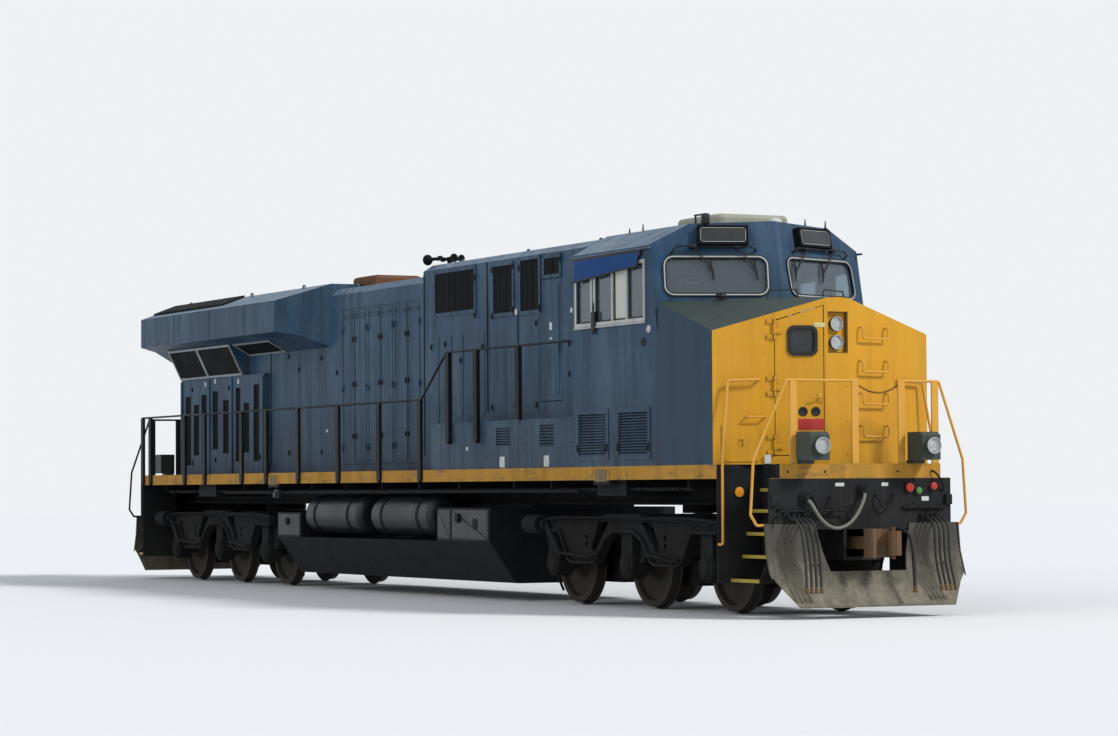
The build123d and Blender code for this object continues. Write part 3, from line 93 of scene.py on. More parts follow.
def normalParts(tree):
    return split(tree, addNode(tree, "ShaderNodeNewGeometry").outputs["Normal"])


def noise(tree, coords, scale, detail=4.0, rough=0.6, stretch=(1, 1, 1)):
    mapped = addNode(tree, "ShaderNodeMapping", {"Vector": coords, "Scale": stretch}).outputs[0]
    return addNode(tree, "ShaderNodeTexNoise", {"Vector": mapped, "Scale": scale, "Detail": detail,
                                               "Roughness": rough}).outputs["Fac"]


def startGroup(name, inputs, outputs):
    tree = bpy.data.node_groups.new(name, "ShaderNodeTree")
    for socket, value in inputs.items():
        kind = "NodeSocketColor" if isinstance(value, tuple) else "NodeSocketFloat"
        tree.interface.new_socket(socket, in_out="INPUT", socket_type=kind).default_value = value
    for socket in outputs:
        kind = "NodeSocketColor" if socket == "Color" else "NodeSocketFloat"
        tree.interface.new_socket(socket, in_out="OUTPUT", socket_type=kind)
    return tree, tree.nodes.new("NodeGroupInput").outputs, tree.nodes.new("NodeGroupOutput").inputs


def endGroup(tree, result, values):
    for socket, value in values.items():
        tree.links.new(value, result[socket])
    return tree


def buildWeatherGroup():
    # Faded patches, rain streaks, grain, and road dust that thickens towards the rails
    tree, given, result = startGroup("weather", {"Paint": (0.05, 0.1, 0.15, 1), "Dust": (0.2, 0.17, 0.13, 1),
                                                 "Fade": 0.5, "Streaks": 0.4, "Dust Share": 0.5, "Dust Top": 2.5},
                                     ("Color", "Roughness", "Height"))
    coords = objectPlace(tree)
    patches = spread(tree, noise(tree, coords, 0.9, 7, 0.68, (1.0, 1.0, 0.75)), 0.42, 0.62)
    smears = spread(tree, noise(tree, coords, 1.0, 6, 0.65, (5, 7, 0.5)), 0.42, 0.68)
    runs = spread(tree, noise(tree, coords, 1.0, 4, 0.7, (26, 26, 0.7)), 0.55, 0.8)
    grain = noise(tree, coords, 70, 3)
    low = spread(tree, split(tree, coords)["Z"], 0.0, given["Dust Top"], 1.0, 0.0, interpolation_type="SMOOTHSTEP")
    cloud = spread(tree, noise(tree, coords, 2.6, 7, 0.7), 0.3, 0.75, 0.25, 1.0)
    dust = product(tree, low, cloud, given["Dust Share"])
    faded = mixColour(tree, 0.17, given["Paint"], (0.26, 0.34, 0.38, 1))
    dark = mixColour(tree, 0.62, given["Paint"], (0.012, 0.012, 0.012, 1))
    colour = mixColour(tree, product(tree, patches, given["Fade"]), given["Paint"], faded)
    colour = mixColour(tree, product(tree, smears, given["Streaks"]), colour, dark)
    colour = mixColour(tree, product(tree, runs, given["Streaks"], 0.45), colour, given["Dust"])
    colour = mixColour(tree, dust, colour, given["Dust"])
    colour = mixColour(tree, spread(tree, grain, 0.3, 0.7, 0.0, 0.03), colour, (0.14, 0.14, 0.14, 1))
    rough = calc(tree, "ADD", spread(tree, patches, 0, 1, 0.0, 0.14), product(tree, dust, 0.35))
    rough = calc(tree, "ADD", rough, product(tree, smears, 0.1))
    height = calc(tree, "ADD", product(tree, grain, 0.3), product(tree, patches, 0.6))
    return endGroup(tree, result, {"Color": colour, "Roughness": rough, "Height": height})


def buildRustGroup():
    # Rust that comes through in spots, with a crust on the spots
    tree, given, result = startGroup("rust", {"Color": (0.05, 0.05, 0.05, 1), "Rust": (0.22, 0.085, 0.03, 1),
                                              "Amount": 0.5, "Scale": 6.0}, ("Color", "Mask", "Height"))
    coords = objectPlace(tree)
    edge = calc(tree, "SUBTRACT", 0.72, product(tree, given["Amount"], 0.4))
    mask = spread(tree, noise(tree, coords, given["Scale"], 9, 0.72), edge, calc(tree, "ADD", edge, 0.12))
    shade = mixColour(tree, noise(tree, coords, 22, 5), given["Rust"], (0.1, 0.05, 0.03, 1))
    return endGroup(tree, result, {"Color": mixColour(tree, mask, given["Color"], shade), "Mask": mask,
                                   "Height": calc(tree, "ADD", mask, noise(tree, coords, 90, 4))})


weatherGroup = buildWeatherGroup()
rustGroup = buildRustGroup()
dustColour = (0.105, 0.088, 0.062, 1)
crustHeight = 0.0015
blue = (0.0128, 0.0485, 0.097, 1)
gold = (0.57, 0.275, 0.013, 1)
black = (0.006, 0.0065, 0.008, 1)


def startMaterial(name):
    made = bpy.data.materials.new(name)
    made.use_nodes = True
    return made, made.node_tree, made.node_tree.nodes["Principled BSDF"]


def paint(name, colour, rough, fade, streaks, dust, dustTop, rust=0.0, rustScale=6.0, metal=0.0, shine=0.25,
          choose=None):
    # choose(tree) may give the paint colour as a socket, for a piece in two colours
    made, tree, shader = startMaterial(name)
    weather = addNode(tree, "ShaderNodeGroup", {
        "Paint": choose(tree) if choose else colour, "Dust": dustColour, "Fade": fade, "Streaks": streaks,
        "Dust Share": dust, "Dust Top": dustTop}, node_tree=weatherGroup).outputs
    tone, height = weather["Color"], weather["Height"]
    roughness = calc(tree, "ADD", weather["Roughness"], rough)
    if rust > 0:
        spots = addNode(tree, "ShaderNodeGroup", {"Color": tone, "Amount": rust, "Scale": rustScale},
                        node_tree=rustGroup).outputs
        tone = spots["Color"]
        roughness = calc(tree, "ADD", roughness, product(tree, spots["Mask"], 0.3))
        height = calc(tree, "ADD", height, spots["Height"])
    tree.links.new(tone, shader.inputs["Base Color"])
    tree.links.new(calc(tree, "MINIMUM", roughness, 0.95), shader.inputs["Roughness"])
    shader.inputs["Metallic"].default_value = metal
    shader.inputs["Specular IOR Level"].default_value = shine
    bump = addNode(tree, "ShaderNodeBump", {"Height": height, "Strength": 1.0, "Distance": crustHeight})
    tree.links.new(bump.outputs[0], shader.inputs["Normal"])
    return made


def facingForward(tree):
    # Gold on what faces forward, anti-glare green on the sloped top, dark blue elsewhere
    normal = normalParts(tree)
    sided = mixColour(tree, calc(tree, "GREATER_THAN", normal["X"], 0.6), (0.009, 0.031, 0.060, 1), gold)
    return mixColour(tree, calc(tree, "GREATER_THAN", normal["Z"], 0.6), sided, (0.03, 0.045, 0.04, 1))


def skySheenAndLowFilm(tree):
    # Painted sky reflection: surfaces facing up are mixed toward a pale sky blue in patches; soot and road film low
    # down
    coords = objectPlace(tree)
    top = spread(tree, normalParts(tree)["Z"], 0.2, 0.6)
    cloud = spread(tree, noise(tree, coords, 1.3, 6, 0.7), 0.35, 0.65, 0.45, 1.0)
    # Painted sky reflection on what faces up
    paintedSkySheen = mixColour(tree, product(tree, top, cloud), blue, (0.125, 0.185, 0.26, 1))
    low = spread(tree, split(tree, coords)["Z"], 1.7, 3.0, 1.0, 0.0)
    film = spread(tree, noise(tree, coords, 1.0, 7, 0.7, (1.6, 1.6, 0.8)), 0.3, 0.62, 0.2, 1.0)
    return mixColour(tree, product(tree, low, film, 0.72), paintedSkySheen, (0.012, 0.022, 0.032, 1))


def sillStripe(tree):
    # Gold band along the deck's edge, black below and on top
    coords = objectPlace(tree)
    place = split(tree, coords)
    high = calc(tree, "GREATER_THAN", place["Z"], 1.612)
    edge = calc(tree, "MAXIMUM", beyond(tree, place["Y"], 1.49), beyond(tree, place["X"], 10.62))
    upright = calc(tree, "LESS_THAN", calc(tree, "ABSOLUTE", normalParts(tree)["Z"]), 0.5)
    worn = spread(tree, noise(tree, coords, 2.2, 8, 0.75, (1, 1, 4)), 0.52, 0.66, 0.0, 0.75)
    toned = mixColour(tree, worn, (0.43, 0.215, 0.026, 1), (0.10, 0.075, 0.05, 1))
    return mixColour(tree, product(tree, high, edge, upright), black, toned)


def railTones(tree):
    # Gold rails at the cab end, black at the other
    front = calc(tree, "GREATER_THAN", split(tree, objectPlace(tree))["X"], 0.0)
    return mixColour(tree, front, black, (0.6, 0.3, 0.04, 1))


def wireWeave(tree):
    # Crossed wires of a screen, in squares of 25 mm, over near-black painted shade standing for the dark space behind
    # them
    place = split(tree, objectPlace(tree))
    wires = [calc(tree, "LESS_THAN", calc(tree, "PINGPONG", place[axis], 0.0125), 0.0028) for axis in ("X", "Z")]
    return mixColour(tree, calc(tree, "MAXIMUM", *wires), (0.002, 0.002, 0.0025, 1), (0.010, 0.0105, 0.012, 1))


def canvasWeave(tree):
    # Threads of the cloth crossing at a millimetre or two
    coords = objectPlace(tree)
    place = split(tree, coords)
    threads = [calc(tree, "SINE", product(tree, place[axis], 2600.0)) for axis in ("X", "Z")]
    share = spread(tree, product(tree, *threads), -1, 1)
    deep = mixColour(tree, noise(tree, coords, 6, 5), (0.006, 0.03, 0.13, 1), (0.014, 0.06, 0.20, 1))
    return mixColour(tree, product(tree, share, 0.5), deep, (0.02, 0.07, 0.19, 1))


def plowTones(tree):
    # Darker high on the plow, a lighter speckled tan along its lower half
    coords = objectPlace(tree)
    blotch = calc(tree, "SUBTRACT", noise(tree, coords, 3.2, 8, 0.72, (1, 1, 0.8)), 0.5)
    level = calc(tree, "ADD", split(tree, coords)["Z"], product(tree, blotch, 1.5))
    lighterLow = mixColour(tree, spread(tree, noise(tree, coords, 14, 6, 0.7), 0.35, 0.7), (0.20, 0.18, 0.125, 1),
                        (0.12, 0.105, 0.075, 1))
    return mixColour(tree, spread(tree, level, 0.30, 0.72), lighterLow, (0.055, 0.05, 0.038, 1))


def trimTones(tree):
    # Bare metal round the side windows, black seal round the windshields
    place = split(tree, objectPlace(tree))
    rear = calc(tree, "LESS_THAN", place["X"], 8.2)
    return mixColour(tree, product(tree, beyond(tree, place["Y"], 1.47), rear), (0.01, 0.01, 0.01, 1),
                     (0.42, 0.43, 0.41, 1))


def glass(name, tint, rough):
    made, tree, shader = startMaterial(name)
    film = spread(tree, noise(tree, objectPlace(tree), 3.0, 6, 0.7), 0.4, 0.8, rough, rough + 0.03)
    tree.links.new(film, shader.inputs["Roughness"])
    shader.inputs["Base Color"].default_value = tint
    shader.inputs["Transmission Weight"].default_value = 0.9
    shader.inputs["IOR"].default_value = 1.45
    return made


# Each paint: colour, roughness, fading, streaks, dust, how high the dust reaches, and what else it has
paints = {
    # Body blue, with a painted sky reflection on its tops and soot low down
    "bodyBlue": (blue, 0.42, 0.9, 0.7, 0.16, 3.4, dict(shine=0.16, choose=skySheenAndLowFilm)),
    "noseGold": (gold, 0.42, 0.12, 0.22, 0.1, 2.6, dict(shine=0.18)),
    "noseShell": (gold, 0.42, 0.12, 0.22, 0.1, 2.6, dict(shine=0.18, choose=facingForward)),
    "sill": (black, 0.55, 0.1, 0.45, 0.3, 2.0, dict(shine=0.12, choose=sillStripe)),
    "frameBlack": (black, 0.6, 0.12, 0.25, 0.2, 2.2, dict(shine=0.08)),
    "tankBlack": ((0.0045, 0.005, 0.008, 1), 0.5, 0.12, 0.3, 0.08, 1.8, dict(shine=0.08)),
    "reservoirBlack": ((0.008, 0.010, 0.015, 1), 0.26, 0.08, 0.2, 0.05, 1.8, dict(shine=0.24)),
    "truckIron": ((0.006, 0.006, 0.007, 1), 0.7, 0.15, 0.2, 0.14, 1.9, dict(rust=0.08, rustScale=5, shine=0.06)),
    "wheelSteel": ((0.022, 0.018, 0.016, 1), 0.55, 0.15, 0.1, 0.2, 1.6,
                   dict(rust=0.25, rustScale=7, metal=0.2, shine=0.15)),
    "plowSteel": ((0.13, 0.115, 0.082, 1), 0.6, 0.15, 0.6, 0.15, 1.4,
                  dict(rust=0.2, rustScale=4, shine=0.2, choose=plowTones)),
    "couplerIron": ((0.11, 0.065, 0.03, 1), 0.7, 0.3, 0.1, 0.3, 1.6, dict(rust=0.6, rustScale=9, shine=0.2)),
    "exhaustRust": ((0.10, 0.046, 0.027, 1), 0.75, 0.4, 0.3, 0.0, 1.0, dict(rust=0.75, rustScale=7)),
    "railBlack": ((0.005, 0.005, 0.006, 1), 0.45, 0.1, 0.15, 0.08, 2.6, dict(shine=0.15)),
    "railEnds": (gold, 0.5, 0.2, 0.15, 0.15, 2.4, dict(rust=0.2, rustScale=9, choose=railTones)),
    "screenBlack": ((0.008, 0.008, 0.009, 1), 0.6, 0.03, 0.1, 0.03, 2.0, dict(shine=0.04, choose=wireWeave)),
    "coolerCream": ((0.31, 0.305, 0.235, 1), 0.55, 0.3, 0.3, 0.0, 1.0, {}),
    "cabGrey": ((0.20, 0.205, 0.185, 1), 0.6, 0.2, 0.1, 0.0, 1.0, {}),
    "lampHousing": ((0.03, 0.042, 0.035, 1), 0.45, 0.3, 0.2, 0.2, 3.0, {}),
    "visorBlue": ((0.010, 0.045, 0.17, 1), 0.8, 0.3, 0.2, 0.0, 1.0, dict(shine=0.1, choose=canvasWeave)),
    "engineGreen": ((0.14, 0.17, 0.15, 1), 0.5, 0.3, 0.3, 0.2, 2.6, {}),
    "windowTrim": ((0.3, 0.31, 0.3, 1), 0.42, 0.4, 0.35, 0.05, 2.0, dict(metal=0.5, choose=trimTones)),
    "latchBlack": ((0.007, 0.007, 0.008, 1), 0.45, 0.3, 0.1, 0.1, 2.2, dict(shine=0.2)),
    # Darker blue for the panel bolts, and painted shade on the engine doors' pressed outlines
    "boltDarkAndSeamShade": ((0.013, 0.036, 0.066, 1), 0.45, 0.5, 0.5, 0.12, 3.4, dict(shine=0.2)),
    "labelWhite": ((0.55, 0.56, 0.53, 1), 0.5, 0.3, 0.3, 0.12, 2.4, {}),
    "discRed": ((0.42, 0.025, 0.018, 1), 0.45, 0.3, 0.2, 0.2, 2.0, {}),
    "discGreen": ((0.06, 0.20, 0.045, 1), 0.45, 0.3, 0.2, 0.2, 2.0, {}),
    "treadYellow": ((0.42, 0.31, 0.03, 1), 0.55, 0.5, 0.4, 0.35, 2.2, dict(rust=0.2, rustScale=14)),
    "trimSilver": ((0.42, 0.43, 0.42, 1), 0.35, 0.3, 0.3, 0.05, 2.0, dict(metal=0.7)),
    "brightSteel": ((0.55, 0.55, 0.54, 1), 0.2, 0.2, 0.15, 0.05, 2.0, dict(metal=1.0)),
    # An opaque glossy dark pane: painted shade for the unlit space behind a window
    "glassOverPaintedShade": ((0.012, 0.016, 0.018, 1), 0.08, 0.2, 0.1, 0.05, 2.0, dict(shine=0.5)),
    "boardFace": ((0.012, 0.013, 0.014, 1), 0.2, 0.3, 0.2, 0.05, 2.0, dict(shine=0.5)),
    "recessLiningBrown": ((0.16, 0.09, 0.035, 1), 0.65, 0.4, 0.4, 0.1, 2.0, dict(rust=0.5, rustScale=12)),
    "plateCream": ((0.56, 0.50, 0.22, 1), 0.5, 0.2, 0.2, 0.05, 2.0, {}),
    "panelCream": ((0.50, 0.50, 0.44, 1), 0.6, 0.2, 0.2, 0.05, 2.0, {}),
    "panelGrey": ((0.05, 0.053, 0.052, 1), 0.5, 0.3, 0.4, 0.15, 1.8, {}),
    "frameGrey": ((0.24, 0.27, 0.28, 1), 0.45, 0.4, 0.4, 0.05, 2.0, dict(shine=0.3)),
    "padTan": ((0.19, 0.12, 0.05, 1), 0.6, 0.5, 0.5, 0.3, 2.4, dict(rust=0.3, rustScale=9)),
    "seatCloth": ((0.03, 0.028, 0.026, 1), 0.8, 0.3, 0.1, 0.0, 1.0, dict(shine=0.15)),
    "rubberSeal": ((0.009, 0.009, 0.009, 1), 0.5, 0.25, 0.2, 0.2, 1.6, {}),
    "cableGrey": ((0.16, 0.155, 0.13, 1), 0.55, 0.25, 0.2, 0.2, 1.6, {}),
    "hoseBlack": ((0.011, 0.011, 0.011, 1), 0.6, 0.25, 0.2, 0.2, 1.6, {}),
    "lensAmber": ((0.72, 0.25, 0.012, 1), 0.2, 0.1, 0.1, 0.05, 1.4, dict(shine=0.5)),
}
finish = {name: paint(name, *values, **extras) for name, (*values, extras) in paints.items()}
finish["lensClear"] = glass("lensClear", (0.9, 0.92, 0.92, 1), 0.03)
finish["glassClear"] = glass("glassClear", (0.42, 0.52, 0.58, 1), 0.01)
print("materials built:", len(finish))

# The solids that each finish dresses; engine doors are blue, wheels bare steel, the rest of the trucks iron
dressed = {
    "bodyBlue": ("cab_shell", "cab_base", "auxiliary_hood", "right_side_door", "left_side_door", "walkway_cabinets",
                 "engine_hood", "radiator_hood"),
    "frameBlack": ("centre_sills", "cross_members", "step_wells", "sill_pipes", "end_gear"),
    "sill": ("underframe",), "windowTrim": ("window_frames",), "tankBlack": ("fuel_tank",),
    "reservoirBlack": ("air_reservoirs",), "plowSteel": ("pilot_plows",), "noseShell": ("nose_shell",),
    "noseGold": ("nose_door",), "glassClear": ("cab_glass",), "cabGrey": ("cab_interior",),
    "screenBlack": ("number_boards", "body_screens", "horn"), "visorBlue": ("visors",),
    "engineGreen": ("engine_block",), "exhaustRust": ("exhaust",), "coolerCream": ("roof_cooler",),
    "lampHousing": ("lamps",), "railBlack": ("right_handrails", "left_handrails"), "railEnds": ("end_handrails",),
    "cableGrey": ("jumper_cables",), "couplerIron": ("hose_couplings", "front_coupler", "rear_coupler"),
}


def finishFor(name):
    for material, names in dressed.items():
        if name in names:
            return material
    if "engine_door" in name:
        return "bodyBlue"
    return "wheelSteel" if "wheelset" in name else "truckIron"


def dressNodes():
    for name, node in nodes.items():
        node.data.materials.clear()
        node.data.materials.append(finish[finishFor(name)])


# Camera, lamps and floor

camera = {"place": (42.092, -20.029, 1.520), "yaw": 152.922, "pitch": 2.157, "roll": -0.372,
          "lens": 102.654, "sensor": 36, "far": 400}
lamps = {"key": {"energy": 2.8, "spread": 12, "turn": (50, 0, 126)},
         "fill": {"energy": 0.8, "spread": 60, "turn": (62, 0, 10)}}
studio = {"light": (0.82, 0.9, 1, 1), "lightStrength": 0.55, "backdrop": (0.86, 0.88, 0.9, 1),
          "floor": (0.72, 0.72, 0.72, 1), "floorReach": 200}


def buildCamera():
    yaw, pitch, roll = (math.radians(camera[key]) for key in ("yaw", "pitch", "roll"))
    view = Vector((math.cos(yaw) * math.cos(pitch), math.sin(yaw) * math.cos(pitch), math.sin(pitch)))
    level = view.cross(upward).normalized()
    upright = level.cross(view)
    right = level * math.cos(roll) + upright * math.sin(roll)
    up = upright * math.cos(roll) - level * math.sin(roll)
    data = bpy.data.cameras.new("camera")
    data.lens = camera["lens"]
    data.sensor_width = camera["sensor"]
    data.clip_end = camera["far"]
    eye = bpy.data.objects.new("camera", data)
    scene.collection.objects.link(eye)
    eye.matrix_world = Matrix.Translation(camera["place"]) @ Matrix((right, up, -view)).transposed().to_4x4()
    scene.camera = eye


def buildLamps():
    for name, values in lamps.items():
        data = bpy.data.lights.new(name, "SUN")
        data.energy = values["energy"]
        data.angle = math.radians(values["spread"])
        lamp = bpy.data.objects.new(name, data)
        lamp.rotation_euler = [math.radians(turn) for turn in values["turn"]]
        scene.collection.objects.link(lamp)


def buildWorld():
    # Soft light on the object, a paler backdrop for the camera, gloss and glass
    scene.world = bpy.data.worlds.new("studio")
    scene.world.use_nodes = True
    tree = scene.world.node_tree
    tree.nodes.clear()
    path = addNode(tree, "ShaderNodeLightPath").outputs
    seen = calc(tree, "MAXIMUM", path["Is Camera Ray"], path["Is Glossy Ray"])
    seen = calc(tree, "MAXIMUM", seen, path["Is Transmission Ray"])
    light = addNode(tree, "ShaderNodeBackground", {"Color": studio["light"], "Strength": studio["lightStrength"]})
    pale = addNode(tree, "ShaderNodeBackground", {"Color": studio["backdrop"], "Strength": 1.0})
    mix = addNode(tree, "ShaderNodeMixShader", {0: seen, 1: light.outputs[0], 2: pale.outputs[0]})
    addNode(tree, "ShaderNodeOutputWorld", {"Surface": mix.outputs[0]})


def buildFloor():
    bm = bmesh.new()
    bmesh.ops.create_grid(bm, x_segments=1, y_segments=1, size=studio["floorReach"])
    mesh = bpy.data.meshes.new("floor")
    bm.to_mesh(mesh)
    bm.free()
    made, tree, shader = startMaterial("floor")
    shader.inputs["Base Color"].default_value = studio["floor"]
    shader.inputs["Roughness"].default_value = 0.9
    mesh.materials.append(made)
    floor = bpy.data.objects.new("floor", mesh)
    scene.collection.objects.link(floor)


# Helpers for new pieces

def keepPiece(name, bm, material, body="carbody"):
    # A finished bmesh becomes an object that rides on a body
    mesh = bpy.data.meshes.new(name)
    bmesh.ops.recalc_face_normals(bm, faces=bm.faces)
    bm.to_mesh(mesh)
    bm.free()
    mesh.materials.append(finish[material])
    mesh.set_sharp_from_angle(angle=math.radians(32))
    for face in mesh.polygons:
        face.use_smooth = True
    piece = bpy.data.objects.new(name, mesh)
    scene.collection.objects.link(piece)
    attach(piece, body)
    return piece


def across(low, high, count):
    # Middles of count equal steps between two values
    return [low + (high - low) * (number + 0.5) / count for number in range(count)]


def turnTo(toward):
    return upward.rotation_difference(Vector(toward)).to_matrix().to_4x4()


def framePlace(origin, along, upright, outward):
    turned = Matrix((along, upright, outward)).transposed().to_4x4()
    return Matrix.Translation(origin) @ turned


def sidePlace(x, y, z):
    # Where a piece lies on a side wall: its own x along the body, its own y up, its own z outward
    way = 1 if y > 0 else -1
    return Matrix(((-way, 0, 0, x), (0, 0, way, y), (0, 1, 0, z), (0, 0, 0, 1)))


def facetPlace(side):
    # The nose facet: along it from the outer corner, up, and out from it
    return framePlace(Vector((9.771, side * 1.495, 0)), Vector((0.26713, -side * 0.96366, 0)), upward,
                      Vector((0.96366, side * 0.26713, 0)))


def panelPlace(side):
    # The leaning front panel of the cab: outward from the ridge, up along it, and out from it
    ridge = Vector((8.815, 0, 4.262))
    edge = Vector((8.345, side * 1.495, 3.880))
    out = (edge - ridge).cross(Vector((-0.22, 0, 1))).normalized()
    out = out if out.x > 0 else -out
    level = upward.cross(out).normalized()
    return framePlace(ridge, level * (1 if level.y * side > 0 else -1), out.cross(level), out)


def noseTop(x, y):
    # Height of the nose's top at one place: the lower of its two planes a side
    shoulder, inner = (8.438, 1.495, 3.752), (10.143, 0.153, 3.742)
    heights = []
    for row in ((shoulder, (9.771, 1.495, 3.350), inner), (shoulder, inner, (8.947, 0, 3.821))):
        first, second, third = (Vector(corner) for corner in row)
        up = (second - first).cross(third - first)
        heights.append(first.z - (up.x * (x - first.x) + up.y * (abs(y) - first.y)) / up.z)
    return min(heights)


def addBlock(bm, first, second, bevel=0.0, place=None):
    # A block between two opposite corners, with its edges softened; place turns it into position
    size = [max(abs(b - a), 1e-5) for a, b in zip(first, second)]
    middle = [(a + b) / 2 for a, b in zip(first, second)]
    corners = bmesh.ops.create_cube(bm, size=1.0)["verts"]
    bmesh.ops.scale(bm, vec=size, verts=corners)
    bmesh.ops.translate(bm, vec=middle, verts=corners)
    if bevel > 0:
        edges = list({edge for vert in corners for edge in vert.link_edges})
        made = bmesh.ops.bevel(bm, geom=edges, offset=bevel, segments=2, profile=0.5, affect="EDGES", material=-1)
        corners = list({vert for face in made["faces"] for vert in face.verts})
    if place:
        bmesh.ops.transform(bm, matrix=place, verts=corners)


def addLathe(bm, start, toward, profile, steps=16):
    # profile is rows of (distance along the axis, radius), turned once about the axis
    first = [bm.verts.new((radius, 0, along)) for along, radius in profile]
    edges = [bm.edges.new(pair) for pair in zip(first, first[1:])]
    before = set(bm.verts) - set(first)
    bmesh.ops.spin(bm, geom=first + edges, cent=(0, 0, 0), axis=(0, 0, 1), angle=2 * math.pi, steps=steps,
                   use_merge=True)
    made = [vert for vert in bm.verts if vert not in before]
    bmesh.ops.transform(bm, matrix=Matrix.Translation(start) @ turnTo(toward), verts=made)
    bmesh.ops.remove_doubles(bm, verts=made, dist=1e-6)


def startCurve(name, points, radius, sides, smooth, steps, material=None):
    data = bpy.data.curves.new(name, "CURVE")
    data.dimensions = "3D"
    data.bevel_depth = radius
    data.bevel_resolution = sides
    data.use_fill_caps = True
    line = data.splines.new("NURBS" if smooth else "POLY")
    line.points.add(len(points) - 1)
    for point, place in zip(line.points, points):
        point.co = (*place, 1)
    if smooth:
        line.order_u = 3
        line.use_endpoint_u = True
        line.resolution_u = steps
    if material:
        data.materials.append(finish[material])
    made = bpy.data.objects.new(name, data)
    scene.collection.objects.link(made)
    return made


def addTube(bm, points, radius, smooth=False, sides=3, place=None):
    # A round bar through points; smooth bends it as a NURBS line
    if place:
        points = [place @ Vector(point) for point in points]
    holder = startCurve("bar", points, radius, sides, smooth, 6)
    mesh = bpy.data.meshes.new_from_object(holder.evaluated_get(bpy.context.evaluated_depsgraph_get()))
    bar = bmesh.new()
    bar.from_mesh(mesh)
    bmesh.ops.remove_doubles(bar, verts=bar.verts, dist=4e-5)  # joins the caps to the wall
    bar.to_mesh(mesh)
    bar.free()
    bm.from_mesh(mesh)
    bpy.data.curves.remove(holder.data)
    bpy.data.meshes.remove(mesh)


def roundedFace(bm, width, height, corner, segments):
    corners = bmesh.ops.create_grid(bm, x_segments=1, y_segments=1, size=0.5)["verts"]
    bmesh.ops.scale(bm, vec=(width, height, 1), verts=corners)
    if corner > 0:
        corners = bmesh.ops.bevel(bm, geom=corners, offset=corner, segments=segments, profile=0.5,
                                  affect="VERTICES", material=-1)["verts"]
    return max(corners[0].link_faces, key=lambda item: item.calc_area())


def thicken(bm, faces, offset):
    # A second skin over some faces, walled in; gives its points and its faces
    raised = bmesh.ops.extrude_face_region(bm, geom=faces, use_keep_orig=True)["geom"]
    top = [item for item in raised if isinstance(item, bmesh.types.BMVert)]
    bmesh.ops.translate(bm, vec=offset, verts=top)
    return top, [item for item in raised if isinstance(item, bmesh.types.BMFace)]


def addRing(bm, width, height, corner, band, depth, place, at=(0, 0, 0)):
    # A flat rounded frame: outline, corner, band width and thickness, laid where place says
    face = roundedFace(bm, width, height, corner, 6)
    ring = bmesh.ops.inset_region(bm, faces=[face], use_boundary=True, use_even_offset=True, thickness=band,
                                  depth=0)["faces"]
    bmesh.ops.delete(bm, geom=[face], context="FACES")
    top = thicken(bm, ring, (0, 0, depth))[0]
    whole = {vert for item in ring for vert in item.verts} | set(top)
    bmesh.ops.transform(bm, matrix=place @ Matrix.Translation(at), verts=list(whole))


def addPlate(bm, width, height, corner, depth, place, at=(0, 0, 0)):
    # A flat rounded plate with a softened front edge
    face = roundedFace(bm, width, height, corner, 4)
    base = list(face.verts)
    top, skin = thicken(bm, [face], (0, 0, depth))
    rim = bmesh.ops.inset_region(bm, faces=skin, thickness=min(width, height) * 0.06, depth=depth * 0.2)["faces"]
    whole = set(base) | set(top) | {vert for item in rim for vert in item.verts}
    bmesh.ops.transform(bm, matrix=place @ Matrix.Translation(at), verts=list(whole))


def addBolts(bm, spots, toward, radius=0.011, height=0.009, place=None):
    # Hexagon heads standing on a surface that faces toward, or on the plane of place
    if place:
        toward = place.to_3x3() @ upward
        spots = [place @ Vector(spot) for spot in spots]
    for spot in spots:
        stand = Matrix.Translation(Vector(spot) + Vector(toward) * height * 0.4) @ turnTo(toward)
        bmesh.ops.create_cone(bm, cap_ends=True, cap_tris=False, segments=6, radius1=radius, radius2=radius * 0.82,
                              depth=height, matrix=stand)


def sideBolts(bm, side, face, spots, radius, height):
    addBolts(bm, [(x, side * face, z) for x, z in spots], (0, side, 0), radius, height)


# Brake and control hoses at both ends, and the jumper cable across the front

hoses = {"platformEnd": 10.630, "bodyRadius": 0.015, "brakeRadius": 0.022, "brakeY": 0.470,
         "places": (-1.010, -0.945, -0.880, -0.815, 0.815, 0.880, 0.945, 1.010),
         "route": ((0.060, 0, 1.150), (0.160, 0, 1.150), (0.268, 0, 1.085), (0.310, 0.002, 0.965),
                   (0.326, 0.006, 0.830), (0.345, 0.008, 0.690), (0.376, 0.006, 0.540), (0.415, 0, 0.370)),
         "brakeRoute": ((0.060, 0, 1.010), (0.170, 0, 1.010), (0.312, -0.004, 0.938), (0.384, -0.016, 0.800),
                        (0.424, -0.034, 0.650), (0.454, -0.048, 0.505), (0.478, -0.056, 0.360)),
         "length": 0.95, "brakeLength": 0.86, "drift": 3}
# Coupling head: distance past the hose's end, how far past the hose's radius
couplingForm = ((0, -0.004), (0, 0.003), (0.018, 0.003), (0.020, 0.006), (0.030, 0.006), (0.032, 0.002),
                (0.046, 0.002), (0.048, 0.008), (0.064, 0.008), (0.069, 0.004), (0.069, -0.004), (0.056, -0.006))
jumper = {"radius": 0.020, "length": 1.31,
          "route": ((10.650, -0.790, 1.380), (10.760, -0.790, 1.375), (10.790, -0.660, 1.130),
                    (10.785, -0.450, 1.010), (10.785, -0.200, 1.110), (10.760, 0, 1.455), (10.650, 0, 1.460))}


def hangCord(name, points, radius, material):
    piece = startCurve(name, points, radius, 4, True, 10, material)
    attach(piece, "carbody")
    return piece


